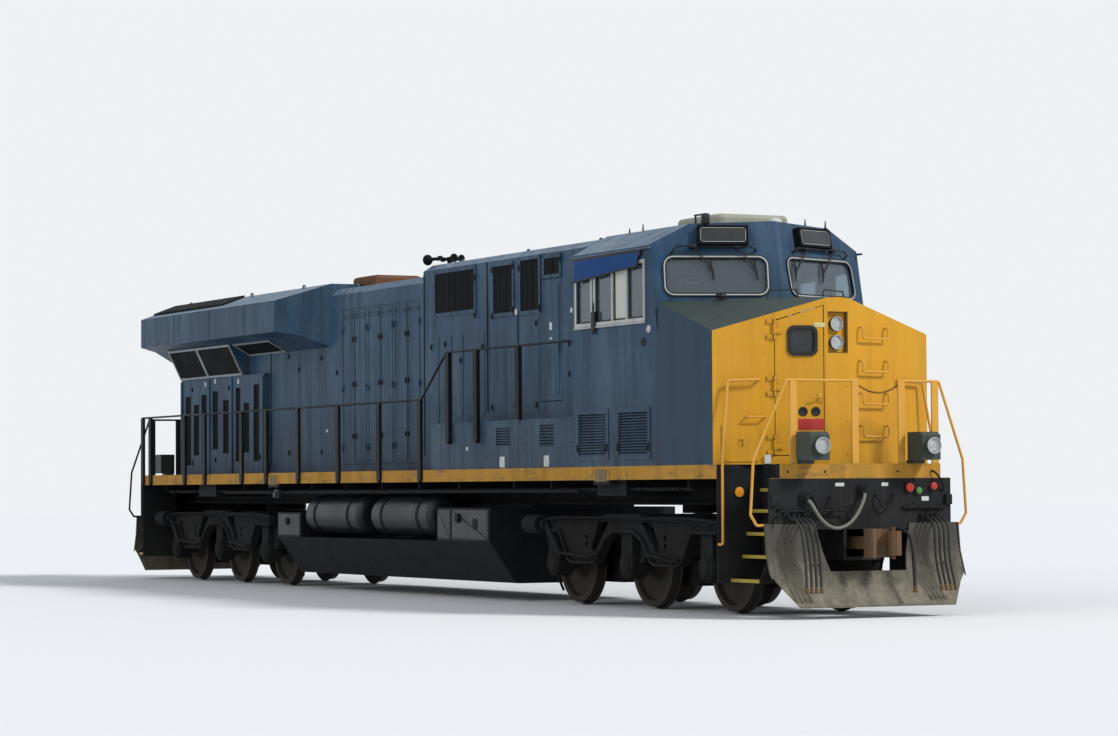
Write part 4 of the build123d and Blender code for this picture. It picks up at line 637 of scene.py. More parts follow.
def hangHose(name, points, radius):
    hose = hangCord(name, points, radius, "hoseBlack")
    last = Vector(points[-1])
    bm = bmesh.new()
    profile = [(0, 0)] + [(along, radius + past) for along, past in couplingForm] + [(0.056, 0)]
    addLathe(bm, last, last - Vector(points[-2]), profile, 20)
    coupling = keepPiece(name + "_coupling", bm, "couplerIron")
    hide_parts("hose_couplings")
    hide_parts("hoses")


def buildHoses():
    base = hoses["platformEnd"]
    for end, name in endNames.items():
        for number, y in enumerate(hoses["places"]):
            turn = hoses["drift"] if y > 0 else -hoses["drift"]
            points = [(end * (base + out), y - turn * drift, z) for out, drift, z in hoses["route"]]
            hangHose("%s_control_hose_%d" % (name, number + 1), points, hoses["bodyRadius"])
        points = [(end * (base + out), end * (hoses["brakeY"] + drift), z) for out, drift, z in hoses["brakeRoute"]]
        hangHose("%s_brake_hose" % name, points, hoses["brakeRadius"])
    cable = hangCord("jumper_cable", jumper["route"], jumper["radius"], "cableGrey")
    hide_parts("jumper_cables")


# Windshields: wipers, bright strips and seal lips; rings are width, height, corner, band and thickness

wiper = {"barUp": 0.172, "barOut": 0.062, "barEnds": (0.300, 1.310), "pivots": (0.520, 1.060),
         "reach": (0.235, 0.285), "bladeHalf": 0.125}
windshield = {"middle": (0.780, -0.184, 0.012), "trim": ((1.286, 0.494, 0.122, 0.015, 0.005),),
              "seal_lips": ((1.314, 0.522, 0.137, 0.012, 0.006), (1.252, 0.460, 0.105, 0.014, 0.006))}


def buildWindshields():
    up, out, half = wiper["barUp"], wiper["barOut"], wiper["bladeHalf"]
    inner, outer = wiper["barEnds"]
    for side, name in sideNames.items():
        place = panelPlace(side)
        bm = bmesh.new()
        addTube(bm, ((inner - 0.02, up - 0.05, 0), (inner, up - 0.03, out), (inner + 0.05, up, out),
                     (outer - 0.05, up, out), (outer, up - 0.05, out), (outer + 0.015, up - 0.08, 0)),
                0.011, place=place)
        for pivot in wiper["pivots"]:
            addBlock(bm, (pivot - 0.035, up - 0.022, 0), (pivot + 0.035, up + 0.022, out + 0.012), 0.005, place)
            x, y = pivot - wiper["reach"][0], up - wiper["reach"][1]
            for step in (-0.016, 0.016):
                addTube(bm, ((pivot + step, up - 0.01, out), (x + step / 2, y, 0.030)), 0.0055, place=place)
            addTube(bm, ((x - 0.018, y - half, 0.005), (x + 0.018, y + half, 0.005)), 0.009, place=place)
            addTube(bm, ((x - 0.014, y - half + 0.05, 0.011), (x, y, 0.033), (x + 0.014, y + half - 0.05, 0.011)),
                    0.006, place=place)
        keepPiece(name + "_windshield_wipers", bm, "latchBlack")
        for part, material in (("trim", "trimSilver"), ("seal_lips", "rubberSeal")):
            bm = bmesh.new()
            for ring in windshield[part]:
                addRing(bm, *ring, place, windshield["middle"])
            keepPiece("%s_windshield_%s" % (name, part), bm, material)


# Nose: rods and antenna on top, door fittings, blank plates, bolts and the headlights' lining

noseFittings = {"rods": ((9.52, -0.60, -0.16), (9.60, 0.12, 0.44)), "antenna": (9.02, -0.94),
                "foot": ((0, 0), (0, 0.028), (0.010, 0.026), (0.018, 0.012), (0.018, 0)),
                "dome": ((0, 0), (0, 0.075), (0.012, 0.080), (0.020, 0.060), (0.030, 0.058), (0.060, 0.070),
                         (0.085, 0.058), (0.094, 0.030), (0.096, 0)),
                "disc": ((0, 0), (0, 0.056), (0.006, 0.056), (0.010, 0.048), (0.006, 0.040), (0.006, 0)),
                "window": (1.093, 3.233), "lever": (1.302, 2.560), "hinges": (2.011, 2.700, 3.369),
                "discs": (1.095, 1.250), "hatch": (0.333, 2.028)}
# Blank plates on the door's facet: name, width, height, corner, depth, place, finish, slot, body
nosePlates = (
    ("nose_door_blank_plate", 0.135, 0.055, 0.006, 0.004, (1.305, 3.42), "plateCream", "cooler_cream", "nose_door"),
    ("nose_blank_plate", 0.075, 0.105, 0.004, 0.030, (0.655, 1.84), "labelWhite", "cooler_cream", "carbody"),
    ("nose_blank_red_plate", 0.315, 0.130, 0.008, 0.004, (1.195, 2.250), "discRed", "board_black", "nose_door"))


def buildNoseTop():
    bm = bmesh.new()
    for x, low, high in noseFittings["rods"]:
        feet = [Vector((x, y, noseTop(x, y) - 0.01)) for y in (low, high)]
        tops = [foot + Vector((0.01, step, 0.11)) for foot, step in zip(feet, (0.03, -0.03))]
        addTube(bm, [feet[0], *tops, feet[1]], 0.009)
        for foot in feet:
            addLathe(bm, foot + Vector((0, 0, 0.002)), upward, noseFittings["foot"], 12)
    keepPiece("nose_top_rods", bm, "latchBlack")
    bm = bmesh.new()
    x, y = noseFittings["antenna"]
    foot = Vector((x, y, noseTop(x, y) - 0.006))
    addLathe(bm, foot, (0.12, 0, 1), noseFittings["dome"], 24)
    addTube(bm, [foot + Vector(step) for step in ((0.08, -0.05, 0.02), (0.16, -0.12, 0.01), (0.20, -0.22, -0.02))],
            0.008, True)
    keepPiece("nose_antenna", bm, "latchBlack")


def buildNoseDoor():
    place = facetPlace(-1)
    x, z = noseFittings["window"]
    bm = bmesh.new()
    addRing(bm, 0.368, 0.358, 0.084, 0.036, 0.020, place, (x, z, 0))
    addRing(bm, 0.300, 0.290, 0.060, 0.010, 0.030, place, (x, z, -0.014))
    keepPiece("nose_door_window_seal", bm, "rubberSeal", "nose_door")
    bm = bmesh.new()
    # The pane is painted shade: an opaque dark sheet for the unlit nose behind the glass
    addPlate(bm, 0.296, 0.286, 0.058, 0.003, place, (x, z, -0.0155))
    keepPiece("nose_door_window_pane", bm, "glassOverPaintedShade", "nose_door")
    bm = bmesh.new()
    x, z = noseFittings["lever"]
    addPlate(bm, 0.060, 0.110, 0.014, 0.010, place, (x, z, 0))
    addTube(bm, ((x, z + 0.015, 0.008), (x, z + 0.015, 0.050), (x - 0.052, z + 0.005, 0.055), (x - 0.102, z, 0.052)),
            0.010, place=place)
    for z in noseFittings["hinges"]:
        addBolts(bm, [(s, z + step, 0.016) for s in (0.790, 0.825) for step in (-0.035, 0.035)],
                 None, 0.009, 0.008, place)
    keepPiece("nose_door_lever", bm, "noseGold", "nose_door")
    bm = bmesh.new()
    heights = [z + step for z in noseFittings["hinges"] for step in (-0.090, 0.090)]
    addBolts(bm, [(s, z, 0.016) for z in heights for s in (0.670, 0.710)], None, 0.009, 0.008, place)
    x, z = noseFittings["hatch"]
    addBolts(bm, [(x + a * 0.200, z + b * 0.185, 0.012) for a in sides for b in (-1, 0, 1)],
             None, 0.010, 0.008, place)
    for side in sides:
        addBolts(bm, [(s, z, 0) for s in (0.06, 1.42 if side > 0 else 0.62) for z in (1.90, 2.30, 2.70, 3.10)],
                 None, 0.008, 0.006, facetPlace(side))
    keepPiece("nose_bolts", bm, "noseGold")
    for name, width, height, corner, depth, (s, z), material, slot, body in nosePlates:
        bm = bmesh.new()
        addPlate(bm, width, height, corner, depth, place, (s, z, 0))
        keepPiece(name, bm, material, body)
    bm = bmesh.new()
    for s in noseFittings["discs"]:
        addLathe(bm, place @ Vector((s, 2.400, 0)), place.to_3x3() @ upward, noseFittings["disc"], 24)
    keepPiece("nose_door_discs", bm, "latchBlack", "nose_door")
    bm = bmesh.new()
    # The recess lining is darker brown than the gold round it, with rust spots
    addRing(bm, 0.276, 0.490, 0.0, 0.010, 0.046,
            framePlace(Vector((10.0835, 0, 3.335)), Vector((0, 1, 0)), upward, ahead))
    keepPiece("headlight_recess_lining", bm, "recessLiningBrown")


# Roof: aerials and horn bracket on the cab, a dome, lifting eyes along the hoods, the cooler's ribs

roof = {"cabEave": 4.725, "cabRise": 0.037, "cabHalf": 0.99,
        "aerials": ((6.72, -0.93, 0.07), (7.02, -0.90, 0.10), (8.42, 0.62, 0.09), (8.36, 0.95, 0.10)),
        "dome": ((0, 0), (0, 0.090), (0.020, 0.092), (0.050, 0.080), (0.074, 0.050), (0.084, 0.020), (0.085, 0)),
        # Lifting eyes: places along the body, distance from the middle, height of the roof there
        "eyes": (((-8.9, -6.1, -3.9), 0.97, 4.658326), ((-2.2, 0.3), 0.80, 4.575), ((1.5, 3.6, 5.7), 0.80, 4.700)),
        "ribs": (7.26, 7.56, 7.86, 8.14)}


def buildRoofPieces():
    bm = bmesh.new()
    for x, y, height in roof["aerials"]:
        z = roof["cabEave"] + roof["cabRise"] * (roof["cabHalf"] - abs(y)) / roof["cabHalf"] - 0.004
        addLathe(bm, (x, y, z), upward, [(0, 0), (0, 0.030), (0.008, 0.028), (0.014, 0.012), (height, 0.006),
                                         (height + 0.004, 0)], 12)
    addTube(bm, [(8.18, -0.80, 4.72), (8.18, -0.80, 4.845), (8.44, -0.80, 4.845), (8.44, -0.80, 4.72)], 0.012)
    addBlock(bm, (8.38, -0.84, 4.722), (8.46, -0.76, 4.850), 0.006)
    addBlock(bm, (8.16, -0.815, 4.836), (8.45, -0.785, 4.856), 0.004)
    keepPiece("cab_roof_fittings", bm, "latchBlack")
    bm = bmesh.new()
    addLathe(bm, (8.40, 0.20, 4.748), upward, roof["dome"], 24)
    keepPiece("roof_antenna_dome", bm, "labelWhite")
    bm = bmesh.new()
    for places, out, z in roof["eyes"]:
        for x, y in [(x, side * out) for x in places for side in sides]:
            addTube(bm, [(x - 0.05, y, z - 0.01), (x - 0.045, y, z + 0.045), (x + 0.045, y, z + 0.045),
                         (x + 0.05, y, z - 0.01)], 0.012, True)
    keepPiece("roof_lifting_eyes", bm, "bodyBlue")
    bm = bmesh.new()
    for x in roof["ribs"]:
        addBlock(bm, (x - 0.006, -0.40, 4.876), (x + 0.006, 0.40, 4.8815), 0.001)
    addBolts(bm, [(x, side * 0.47, 4.845) for x in (7.3, 7.7, 8.1) for side in sides], upward, 0.012, 0.006)
    keepPiece("roof_cooler_ribs", bm, "coolerCream")


exhaust = {"openings": ((-3.258, -2.915), (-2.867, -2.522)), "top": 4.785, "baffles": 5,
           "bolts": (-3.20, -3.00, -2.78, -2.60)}


def buildExhaust():
    # Lips round the two openings, baffles in them and bolts along the stack
    bm = bmesh.new()
    for low, high in exhaust["openings"]:
        addRing(bm, high - low + 0.030, 0.694, 0.012, 0.030, 0.014,
                framePlace(Vector(((low + high) / 2, 0, exhaust["top"])), ahead, Vector((0, 1, 0)), upward))
        for x in across(low, high, exhaust["baffles"]):
            addBlock(bm, (x - 0.006, -0.325, 4.705), (x + 0.006, 0.325, 4.782), 0.002)
    for side in sides:
        sideBolts(bm, side, 0.380, [(x, 4.70) for x in exhaust["bolts"]], 0.012, 0.008)
    keepPiece("exhaust_lips", bm, "exhaustRust")


# Lamps: name, place, radius, the way it faces and the depth of its dish
lampRows = ([("headlight_upper", 10.123, 0, 3.436, 0.085, 1, 0.040),
             ("headlight_lower", 10.123, 0, 3.217, 0.085, 1, 0.040),
             ("rear_headlight_upper", -9.262, 0, 2.936, 0.085, -1, 0.050),
             ("rear_headlight_lower", -9.262, 0, 2.717, 0.085, -1, 0.050)]
            + [("%s_%s_ditch_light" % (endName, sideName), end * 11.020, side * 0.760, 1.987, 0.095, end, 0.060)
               for end, endName in endNames.items() for side, sideName in sideNames.items()])


def lampForms(r, d):
    # Profiles of a lamp of radius r and depth d: part, finish, slot, rows
    return (("dish", "brightSteel", "lamp_metal",
             ((0.80 * d + 0.001, 0), (0.78 * d, r * 0.2), (0.5 * d + 0.002, r * 0.79), (d - 0.001, r * 0.865),
              (d - 0.003, r * 0.875), (0.3 * d, r * 0.875), (0.3 * d, 0))),
            ("bezel", "trimSilver", "lamp_metal",
             ((d - 0.006, r * 1.03), (d + 0.004, r * 1.03), (d + 0.010, r * 0.98), (d + 0.010, r * 0.90),
              (d + 0.003, r * 0.86), (d - 0.004, r * 0.86), (d - 0.006, r * 1.03))),
            ("lens", "lensClear", "window_glass",
             ((d - 0.004, 0), (d - 0.006, r * 0.5), (d - 0.010, r * 0.855), (d - 0.006, r * 0.858),
              (d - 0.001, r * 0.5), (d + 0.002, 0))))


def buildLampGlass():
    for name, x, y, z, radius, way, depth in lampRows:
        toward = (way, 0, 0)
        start = Vector((x - way * depth, y, z))
        for part, material, slot, profile in lampForms(radius, depth):
            bm = bmesh.new()
            addLathe(bm, start, toward, profile, 32)
            if part == "bezel":
                ring = radius * 0.97
                addBolts(bm, [start + Vector((way * (depth + 0.006), ring * math.cos(turn), ring * math.sin(turn)))
                              for turn in (0.6, 2.2, 3.7, 5.3)], toward, 0.006, 0.006)
            keepPiece("%s_%s" % (name, part), bm, material)


# Cab sides: mirror, lamp disc, vent, sliding panel, gaskets, sill rail and the base doors' latches

cabSide = {"wall": 1.495, "baseFace": 1.507, "baseDoors": ((6.329, 7.180), (7.401, 8.262)),
           "lamp": ((0, 0), (0, 0.050), (0.010, 0.050), (0.016, 0.042), (0.012, 0.036), (0.018, 0.020), (0.020, 0)),
           "vent": ((0, 0), (0, 0.055), (0.008, 0.055), (0.012, 0.046), (0.004, 0.042), (0.004, 0)),
           # Panes: rear and front edge, top
           "panes": ((6.350, 6.733, 4.144), (6.860, 7.289, 4.252), (7.333, 7.666, 4.252), (7.710, 8.114, 4.252)),
           "paneBottom": 3.585, "trimBolts": (6.33, 6.755, 6.84, 7.311, 7.688, 8.136)}
awning = {"rear": 6.34, "front": 8.02, "wallZ": 4.405, "wallY": 1.512, "edgeY": 1.549, "rearZ": 4.112,
          "frontZ": 4.222, "sag": 0.005, "thickness": 0.003, "cutWidth": 0.242}


def buildCabSides():
    wall, base = cabSide["wall"], cabSide["baseFace"]
    for side, name in sideNames.items():
        bm = bmesh.new()
        addBlock(bm, (6.775, side * wall, 3.470), (6.885, side * 1.531, 3.720), 0.010)
        addTube(bm, [(6.83, side * 1.500, 3.700), (6.83, side * 1.518, 3.780), (6.83, side * 1.500, 3.850)], 0.009)
        addTube(bm, [(6.77, side * 1.500, 3.440), (6.83, side * 1.522, 3.480), (6.90, side * 1.500, 3.430)], 0.007)
        keepPiece(name + "_mirror", bm, "latchBlack")
        bm = bmesh.new()
        addLathe(bm, (8.240, side * 1.493, 3.440), (0, side, 0), cabSide["lamp"], 24)
        keepPiece(name + "_cab_side_lamp", bm, "trimSilver")
        bm = bmesh.new()
        addLathe(bm, (8.100, side * 1.493, 3.290), (0, side, 0), cabSide["vent"], 20)
        for z in (3.266, 3.290, 3.314):
            addBlock(bm, (8.062, side * wall, z - 0.004), (8.138, side * 1.503, z + 0.004))
        for low, high in cabSide["baseDoors"]:
            for x, way in ((low + 0.034, 1), (high - 0.034, -1)):
                addPlate(bm, 0.040, 0.110, 0.012, 0.008, sidePlace(x, side * base, 2.020))
                addTube(bm, [(x, side * base, 2.045), (x, side * 1.521, 2.040),
                             (x + way * 0.020, side * 1.524, 2.000), (x + way * 0.022, side * 1.524, 1.962)], 0.009)
            sideBolts(bm, side, base, [(x, z) for x in (low + 0.030, high - 0.030) for z in (1.900, 2.440)],
                      0.008, 0.006)
        keepPiece(name + "_cab_base_latches", bm, "latchBlack")
        bm = bmesh.new()
        addPlate(bm, 0.330, 0.640, 0.0, 0.003, sidePlace(7.500, side * 1.4745, 3.925))
        keepPiece(name + "_sliding_panel", bm, "panelCream")
        bm = bmesh.new()
        for low, high, top in cabSide["panes"]:
            bottom = cabSide["paneBottom"]
            addRing(bm, high - low, top - bottom, 0.030, 0.022, 0.012,
                    sidePlace((low + high) / 2, side * 1.4735, (bottom + top) / 2))
        keepPiece(name + "_window_gaskets", bm, "rubberSeal")
        bm = bmesh.new()
        addBlock(bm, (6.30, side * wall, 3.515), (8.17, side * 1.520, 3.535), 0.004)
        sideBolts(bm, side, 1.509, [(x, z) for x in cabSide["trimBolts"] for z in (3.62, 3.86, 4.10)], 0.006, 0.004)
        keepPiece(name + "_window_sill_rail", bm, "trimSilver")
        buildAwning(side, name)


def buildAwning(side, name):
    # Canvas from the cab wall to a hem bar, sagging a little between its ends
    rear, front, edge, wall = awning["rear"], awning["front"], side * awning["edgeY"], side * cabSide["wall"]
    bm = bmesh.new()
    for vert in bmesh.ops.create_grid(bm, x_segments=36, y_segments=8, size=0.5)["verts"]:
        along, down = vert.co.x + 0.5, vert.co.y + 0.5
        hem = awning["rearZ"] + (awning["frontZ"] - awning["rearZ"]) * along
        wave = awning["sag"] * math.sin(math.pi * down) * (0.6 + 0.4 * math.cos(along * 22))
        scallop = 0.004 * math.sin(math.pi * down) * math.sin(along * 41)
        vert.co = (rear + (front - rear) * along,
                   side * (awning["wallY"] + (awning["edgeY"] - awning["wallY"]) * down - wave),
                   awning["wallZ"] + (hem - awning["wallZ"]) * down - wave * 0.4 + scallop)
    thicken(bm, bm.faces[:], (0, side * awning["thickness"], awning["thickness"]))
    canvas = keepPiece(name + "_awning", bm, "visorBlue")
    bm = bmesh.new()
    addTube(bm, [(rear - 0.02, edge, awning["rearZ"]), (front + 0.03, edge, awning["frontZ"])], 0.011)
    for x, z in ((rear, awning["rearZ"]), (front + 0.01, awning["frontZ"])):
        addTube(bm, [(x, side * 1.499, z + 0.14), (x, side * 1.530, z + 0.08), (x, edge, z)], 0.006)
    addBlock(bm, (front + 0.005, wall, 4.340), (front + 0.065, side * 1.533, 4.420), 0.012)
    addBlock(bm, (rear - 0.04, wall, 4.385), (front + 0.05, side * 1.520, 4.424), 0.008)
    bar = keepPiece(name + "_awning_bar", bm, "latchBlack")
    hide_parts("visors")


def buildNumberBoards():
    # Blank dark faces in pale rims
    for side, name in sideNames.items():
        place = panelPlace(side) @ Matrix.Translation((0.690, 0.310, 0.080))
        bm = bmesh.new()
        addRing(bm, 0.566, 0.186, 0.022, 0.009, 0.014, place)
        keepPiece(name + "_number_board_rim", bm, "trimSilver")
        bm = bmesh.new()
        addPlate(bm, 0.546, 0.166, 0.014, 0.004, place, (0, 0, 0.001))
        keepPiece(name + "_number_board_blank", bm, "boardFace")


# Seat pads: middle along the body and up, size, lean in degrees
pads = {"seat": (7.365, 3.110, (0.450, 0.450, 0.110), 0), "back": (7.150, 3.440, (0.560, 0.400, 0.100), -80)}
seatY = 0.900


def addCushion(bm, middle, size, lean):
    # A crowned pad: full in the middle, pulled in along its edges between the corners
    made = bmesh.ops.create_cube(bm, size=1.0)
    bmesh.ops.subdivide_edges(bm, edges=list({edge for vert in made["verts"] for edge in vert.link_edges}), cuts=9,
                              use_grid_fill=True)
    turn = Matrix.Rotation(math.radians(lean), 4, "Y")
    for vert in bm.verts:
        u, v, w = (2 * value for value in vert.co)
        crown = (1 - u ** 4) * (1 - v ** 4)
        pull = 0.05 * ((1 - v * v) * abs(u) ** 6 + (1 - u * u) * abs(v) ** 6) * 0.5
        squeeze = 1 - 0.10 * abs(w) ** 3
        place = Vector((u * size[0] / 2 * (squeeze - pull), v * size[1] / 2 * (squeeze - pull),
                        w * size[2] / 2 * (0.62 + 0.38 * crown)))
        vert.co = turn @ place + Vector(middle)


def buildSeatPads():
    for side, name in sideNames.items():
        for part, (x, z, size, lean) in pads.items():
            bm = bmesh.new()
            addCushion(bm, (x, side * seatY, z), size, lean)
            keepPiece("%s_%s_cushion" % (name, part), bm, "seatCloth")


# Hood sides: screens, slots, latches, labels, strips and bolts. A face is a distance from the middle

screenRows = ((1.325, 2.592, 3.987, 4.542), (3.198, 3.773, 3.889, 4.526), (4.024, 4.560, 3.879, 4.555),
              (4.733, 5.165, 4.320, 4.536))
slotRows = ((-9.01, -8.76, 1.945, 3.104), (-8.63, -8.38, 2.108, 2.962), (-8.26, -8.01, 1.960, 3.120),
            (-7.74, -7.49, 2.200, 3.165), (-7.26, -7.00, 2.128, 3.002), (-6.69, -6.48, 1.985, 3.190),
            (-6.34, -6.09, 2.128, 2.930), (-5.90, -5.66, 1.985, 3.220))
# Latches: places (x, z) on each face
latchRows = {1.133: ((1.18, 3.52), (1.64, 3.54), (2.14, 3.30), (2.84, 3.46), (1.18, 2.02), (1.64, 2.06), (2.62, 2.70),
                     (3.14, 2.62), (3.84, 2.62), (4.48, 2.62), (4.48, 3.70)),
             1.143: ((2.625, 4.42), (2.625, 3.90), (3.165, 4.48), (3.165, 3.86), (3.80, 4.50), (3.80, 3.92),
                     (3.99, 4.46), (4.59, 3.90), (5.20, 4.50)),
             1.127: ((5.42, 3.40), (5.42, 3.00), (5.90, 4.42), (5.55, 3.55), (6.02, 3.60)),
             0.931: ((-4.62, 3.62), (-4.20, 3.40), (-3.30, 3.55), (-4.62, 2.10), (-3.30, 2.10), (-2.70, 3.30),
                     (-2.70, 2.30), (0.62, 3.30), (0.62, 2.30)),
             1.029: ((-5.62, 2.05), (-6.98, 3.20), (-7.60, 2.02), (-8.68, 1.98), (-8.68, 3.22))}
# Blank labels: x, z, width and height on each face
labelRows = {1.1335: ((4.905, 3.640, 0.075, 0.100), (4.905, 3.480, 0.060, 0.030)),
             1.127: ((5.500, 3.820, 0.090, 0.060),),
             0.931: ((0.620, 3.820, 0.070, 0.085), (-3.120, 3.840, 0.080, 0.050), (-3.100, 2.420, 0.060, 0.045)),
             1.029: ((-8.070, 3.290, 0.060, 0.075), (-7.620, 3.330, 0.060, 0.075), (-6.570, 3.290, 0.060, 0.075)),
             1.143: ((3.900, 3.880, 0.070, 0.075),),
             1.480: ((4.140, 1.868, 0.150, 0.145), (5.440, 1.868, 0.150, 0.145), (3.060, 2.060, 0.060, 0.045))}
# Seam strips: x, face, bottom, top, half width
stripRows = ((2.985, 1.127, 2.56, 4.600, 0.013), (6.165, 1.127, 3.70, 4.600, 0.018),
             (0.925, 1.127, 2.00, 4.560, 0.010), (3.945, 1.127, 2.50, 3.850, 0.006),
             (-5.37, 0.931, 1.90, 3.700, 0.008))
hoodLatch = {"plate": (0.034, 0.092, 0.012, 0.007), "grip": (0.008, 0.022, 0.030)}
doorLatch = {"plate": (0.034, 0.100, 0.013, 0.007), "grip": (0.008, 0.024, 0.034), "heights": (2.32, 3.10, 3.78)}
engineDoor = {"rear": -2.499, "pitch": 0.480, "face": 0.931, "count": 6, "latchIn": 0.048, "middle": (0.2565, 0.2235)}
wing = {"face": 1.529, "rear": -9.80, "front": -3.80, "edges": (3.972, 4.445), "folds": (-8.25, -6.60, -5.05)}
screenMargin = 0.025


def rimSpots(low, high, bottom, top):
    # Bolts round one screen: along its top and bottom, and two on each side
    low, high, bottom, top = low - screenMargin, high + screenMargin, bottom - screenMargin, top + screenMargin
    count = max(2, round((high - low) / 0.26))
    spots = [(low + (high - low) * number / count, z) for number in range(count + 1) for z in (bottom, top)]
    inner = top - bottom - 2 * screenMargin
    return spots + [(x, bottom + screenMargin + inner * number / 3) for number in (1, 2) for x in (low, high)]


# Bolts: face, radius, height, places (x, z)
boltRows = ((1.143, 0.010, 0.008, [spot for row in screenRows for spot in rimSpots(*row)]),
            (1.480, 0.011, 0.007, [(1.960 + number * 0.30, z) for number in range(15) for z in (2.385, 1.806)]
             + [(x, z) for x in (2.05, 3.62, 4.86, 6.16) for z in (1.95, 2.10, 2.25)]),
            (1.133, 0.007, 0.005, [(x, z) for x in (0.99, 1.39, 1.49, 1.80) for z in (2.00, 2.45, 2.90, 3.35, 3.62)]
             + [(x, z) for x in (1.96, 2.18, 2.32, 2.87, 3.11, 3.87, 3.99, 4.51) for z in (2.54, 2.98, 3.62)]),
            (wing["face"], 0.009, 0.006, [(-8.95 + number * 0.34, z) for number in range(15) for z in (4.02, 4.40)]))


def addLatch(bm, form, side, x, face, z):
    half, out, tall = form["grip"]
    addPlate(bm, *form["plate"], sidePlace(x, side * face, z))
    addBlock(bm, (x - half, side * face, z - tall), (x + half, side * (face + out), z + tall), 0.004)


def buildHoodFittings(side, name):
    bm = bmesh.new()
    for face, spots in latchRows.items():
        for x, z in spots:
            addLatch(bm, hoodLatch, side, x, face, z)
    keepPiece(name + "_hood_latches", bm, "latchBlack")
    bm = bmesh.new()
    for face, labels in labelRows.items():
        for x, z, width, height in labels:
            addPlate(bm, width, height, 0.003, 0.0025, sidePlace(x, side * face, z))
    keepPiece(name + "_blank_labels", bm, "labelWhite")
    bm = bmesh.new()
    for x, face, low, high, half in stripRows:
        addBlock(bm, (x - half, side * face, low), (x + half, side * (face + 0.012), high), 0.003)
    keepPiece(name + "_seam_strips", bm, "latchBlack")
    bm = bmesh.new()
    for face, radius, height, spots in boltRows:
        sideBolts(bm, side, face, spots, radius, height)
    keepPiece(name + "_panel_bolts", bm, "boltDarkAndSeamShade")


def buildScreens(side, name):
    # Bars in the hood screens and the slots, light frames round the slanted screens, seams on the wing
    bm = bmesh.new()
    for low, high, bottom, top in screenRows:
        count = max(2, round((high - low) / 0.21))
        for number in range(1, count):
            x = low + (high - low) * number / count
            addBlock(bm, (x - 0.004, side * 1.131, bottom), (x + 0.004, side * 1.135, top))
    for low, high, bottom, top in slotRows:
        for z in across(bottom, top, round((top - bottom) / 0.075)):
            addTube(bm, [(low + 0.005, side * 1.016, z), (high - 0.005, side * 1.016, z)], 0.004, False, 1)
    keepPiece(name + "_screen_bars", bm, "screenBlack")
    bm = bmesh.new()
    slope = Vector((0, side * 0.245, 0.510)).normalized()
    away = Vector((0, side * slope.z, -abs(slope.y)))
    for low, high in ((-9.150, -7.880), (-7.820, -6.360)):
        middle = Vector(((low + high) / 2, side * 1.1515, 3.644)) + away * 0.010
        addRing(bm, high - low + 2 * screenMargin, 0.545, 0.0, 0.034, 0.016, framePlace(middle, ahead, slope, away))
    run = Vector((0, side * 0.343, 0.199)).normalized()
    below = Vector((0, side * run.z, -abs(run.y)))
    middle = Vector((-5.450, side * 1.1025, 3.7995)) + below * 0.010
    addRing(bm, 1.56, 0.360, 0.0, 0.034, 0.014, framePlace(middle, ahead, run, below))
    keepPiece(name + "_radiator_frames", bm, "frameGrey")
    bm = bmesh.new()
    for x in wing["folds"]:
        addBlock(bm, (x - 0.020, side * wing["face"], 3.985), (x + 0.020, side * (wing["face"] + 0.005), 4.435),
                 0.002)
    for z in wing["edges"]:
        addTube(bm, [(x, side * (wing["face"] - 0.003), z) for x in (wing["rear"], wing["front"])], 0.008)
    keepPiece(name + "_wing_seams", bm, "bodyBlue")


def buildDoorLatches(side, name):
    # Black latches and two pressed outlines on every engine door, riding on its own leaf; the outlines' darker blue
    # is painted shade along the seams
    face = engineDoor["face"]
    for index in range(engineDoor["count"]):
        low = engineDoor["rear"] + index * engineDoor["pitch"]
        odd = index % 2
        free = low + (engineDoor["latchIn"] if odd else engineDoor["pitch"] - engineDoor["latchIn"])
        leaf = "%s_engine_door_%d" % (name, index + 1)
        bm = bmesh.new()
        for z in doorLatch["heights"]:
            addLatch(bm, doorLatch, side, free, face, z)
        keepPiece(leaf + "_latches", bm, "latchBlack", leaf)
        bm = bmesh.new()
        middle = low + engineDoor["middle"][odd]
        addRing(bm, 0.420, 2.300, 0.020, 0.012, 0.004, sidePlace(middle, side * face, 3.070))
        addRing(bm, 0.330, 0.060, 0.010, 0.010, 0.010, sidePlace(middle, side * face, 4.130))
        # Darker blue on the outlines is painted shade
        keepPiece(leaf + "_pressing", bm, "boltDarkAndSeamShade", leaf)


# Front and rear platforms: fittings on the end plate, chain, treads and plow

endFace = 10.630
# Valve discs: piece, finish, stem, places (y, z, radius)
valves = (("valve_discs_red", "discRed", 0.030, ((0.646, 1.503, 0.052), (0.982, 1.517, 0.044))),
          ("valve_disc_green", "discGreen", 0.026, ((0.776, 1.465, 0.040),)))
endLabels = ((0.880, 1.370, 0.100, 0.050), (-0.300, 1.540, 0.120, 0.040), (0.320, 1.540, 0.090, 0.040))
receptacle = ((0, 0), (0, 0.052), (0.010, 0.052), (0.014, 0.044), (0.050, 0.042), (0.054, 0.030), (0.090, 0.028),
              (0.092, 0))
chain = {"start": (10.597, -0.015, 2.700), "span": 0.550, "sag": 0.36, "links": 22, "length": 0.036, "width": 0.020,
         "wire": 0.0035}
treads = {"rows": ((0.921, 1.498), (1.029, 1.253), (1.107, 0.988), (1.166, 0.724), (1.323, 0.449)),
          "bolts": ((0.93, 1.40), (0.93, 1.15), (0.95, 0.88), (1.00, 0.60), (1.20, 0.43)),
          "lens": ((0, 0), (0, 0.060), (0.005, 0.058), (0.010, 0.034), (0.011, 0))}


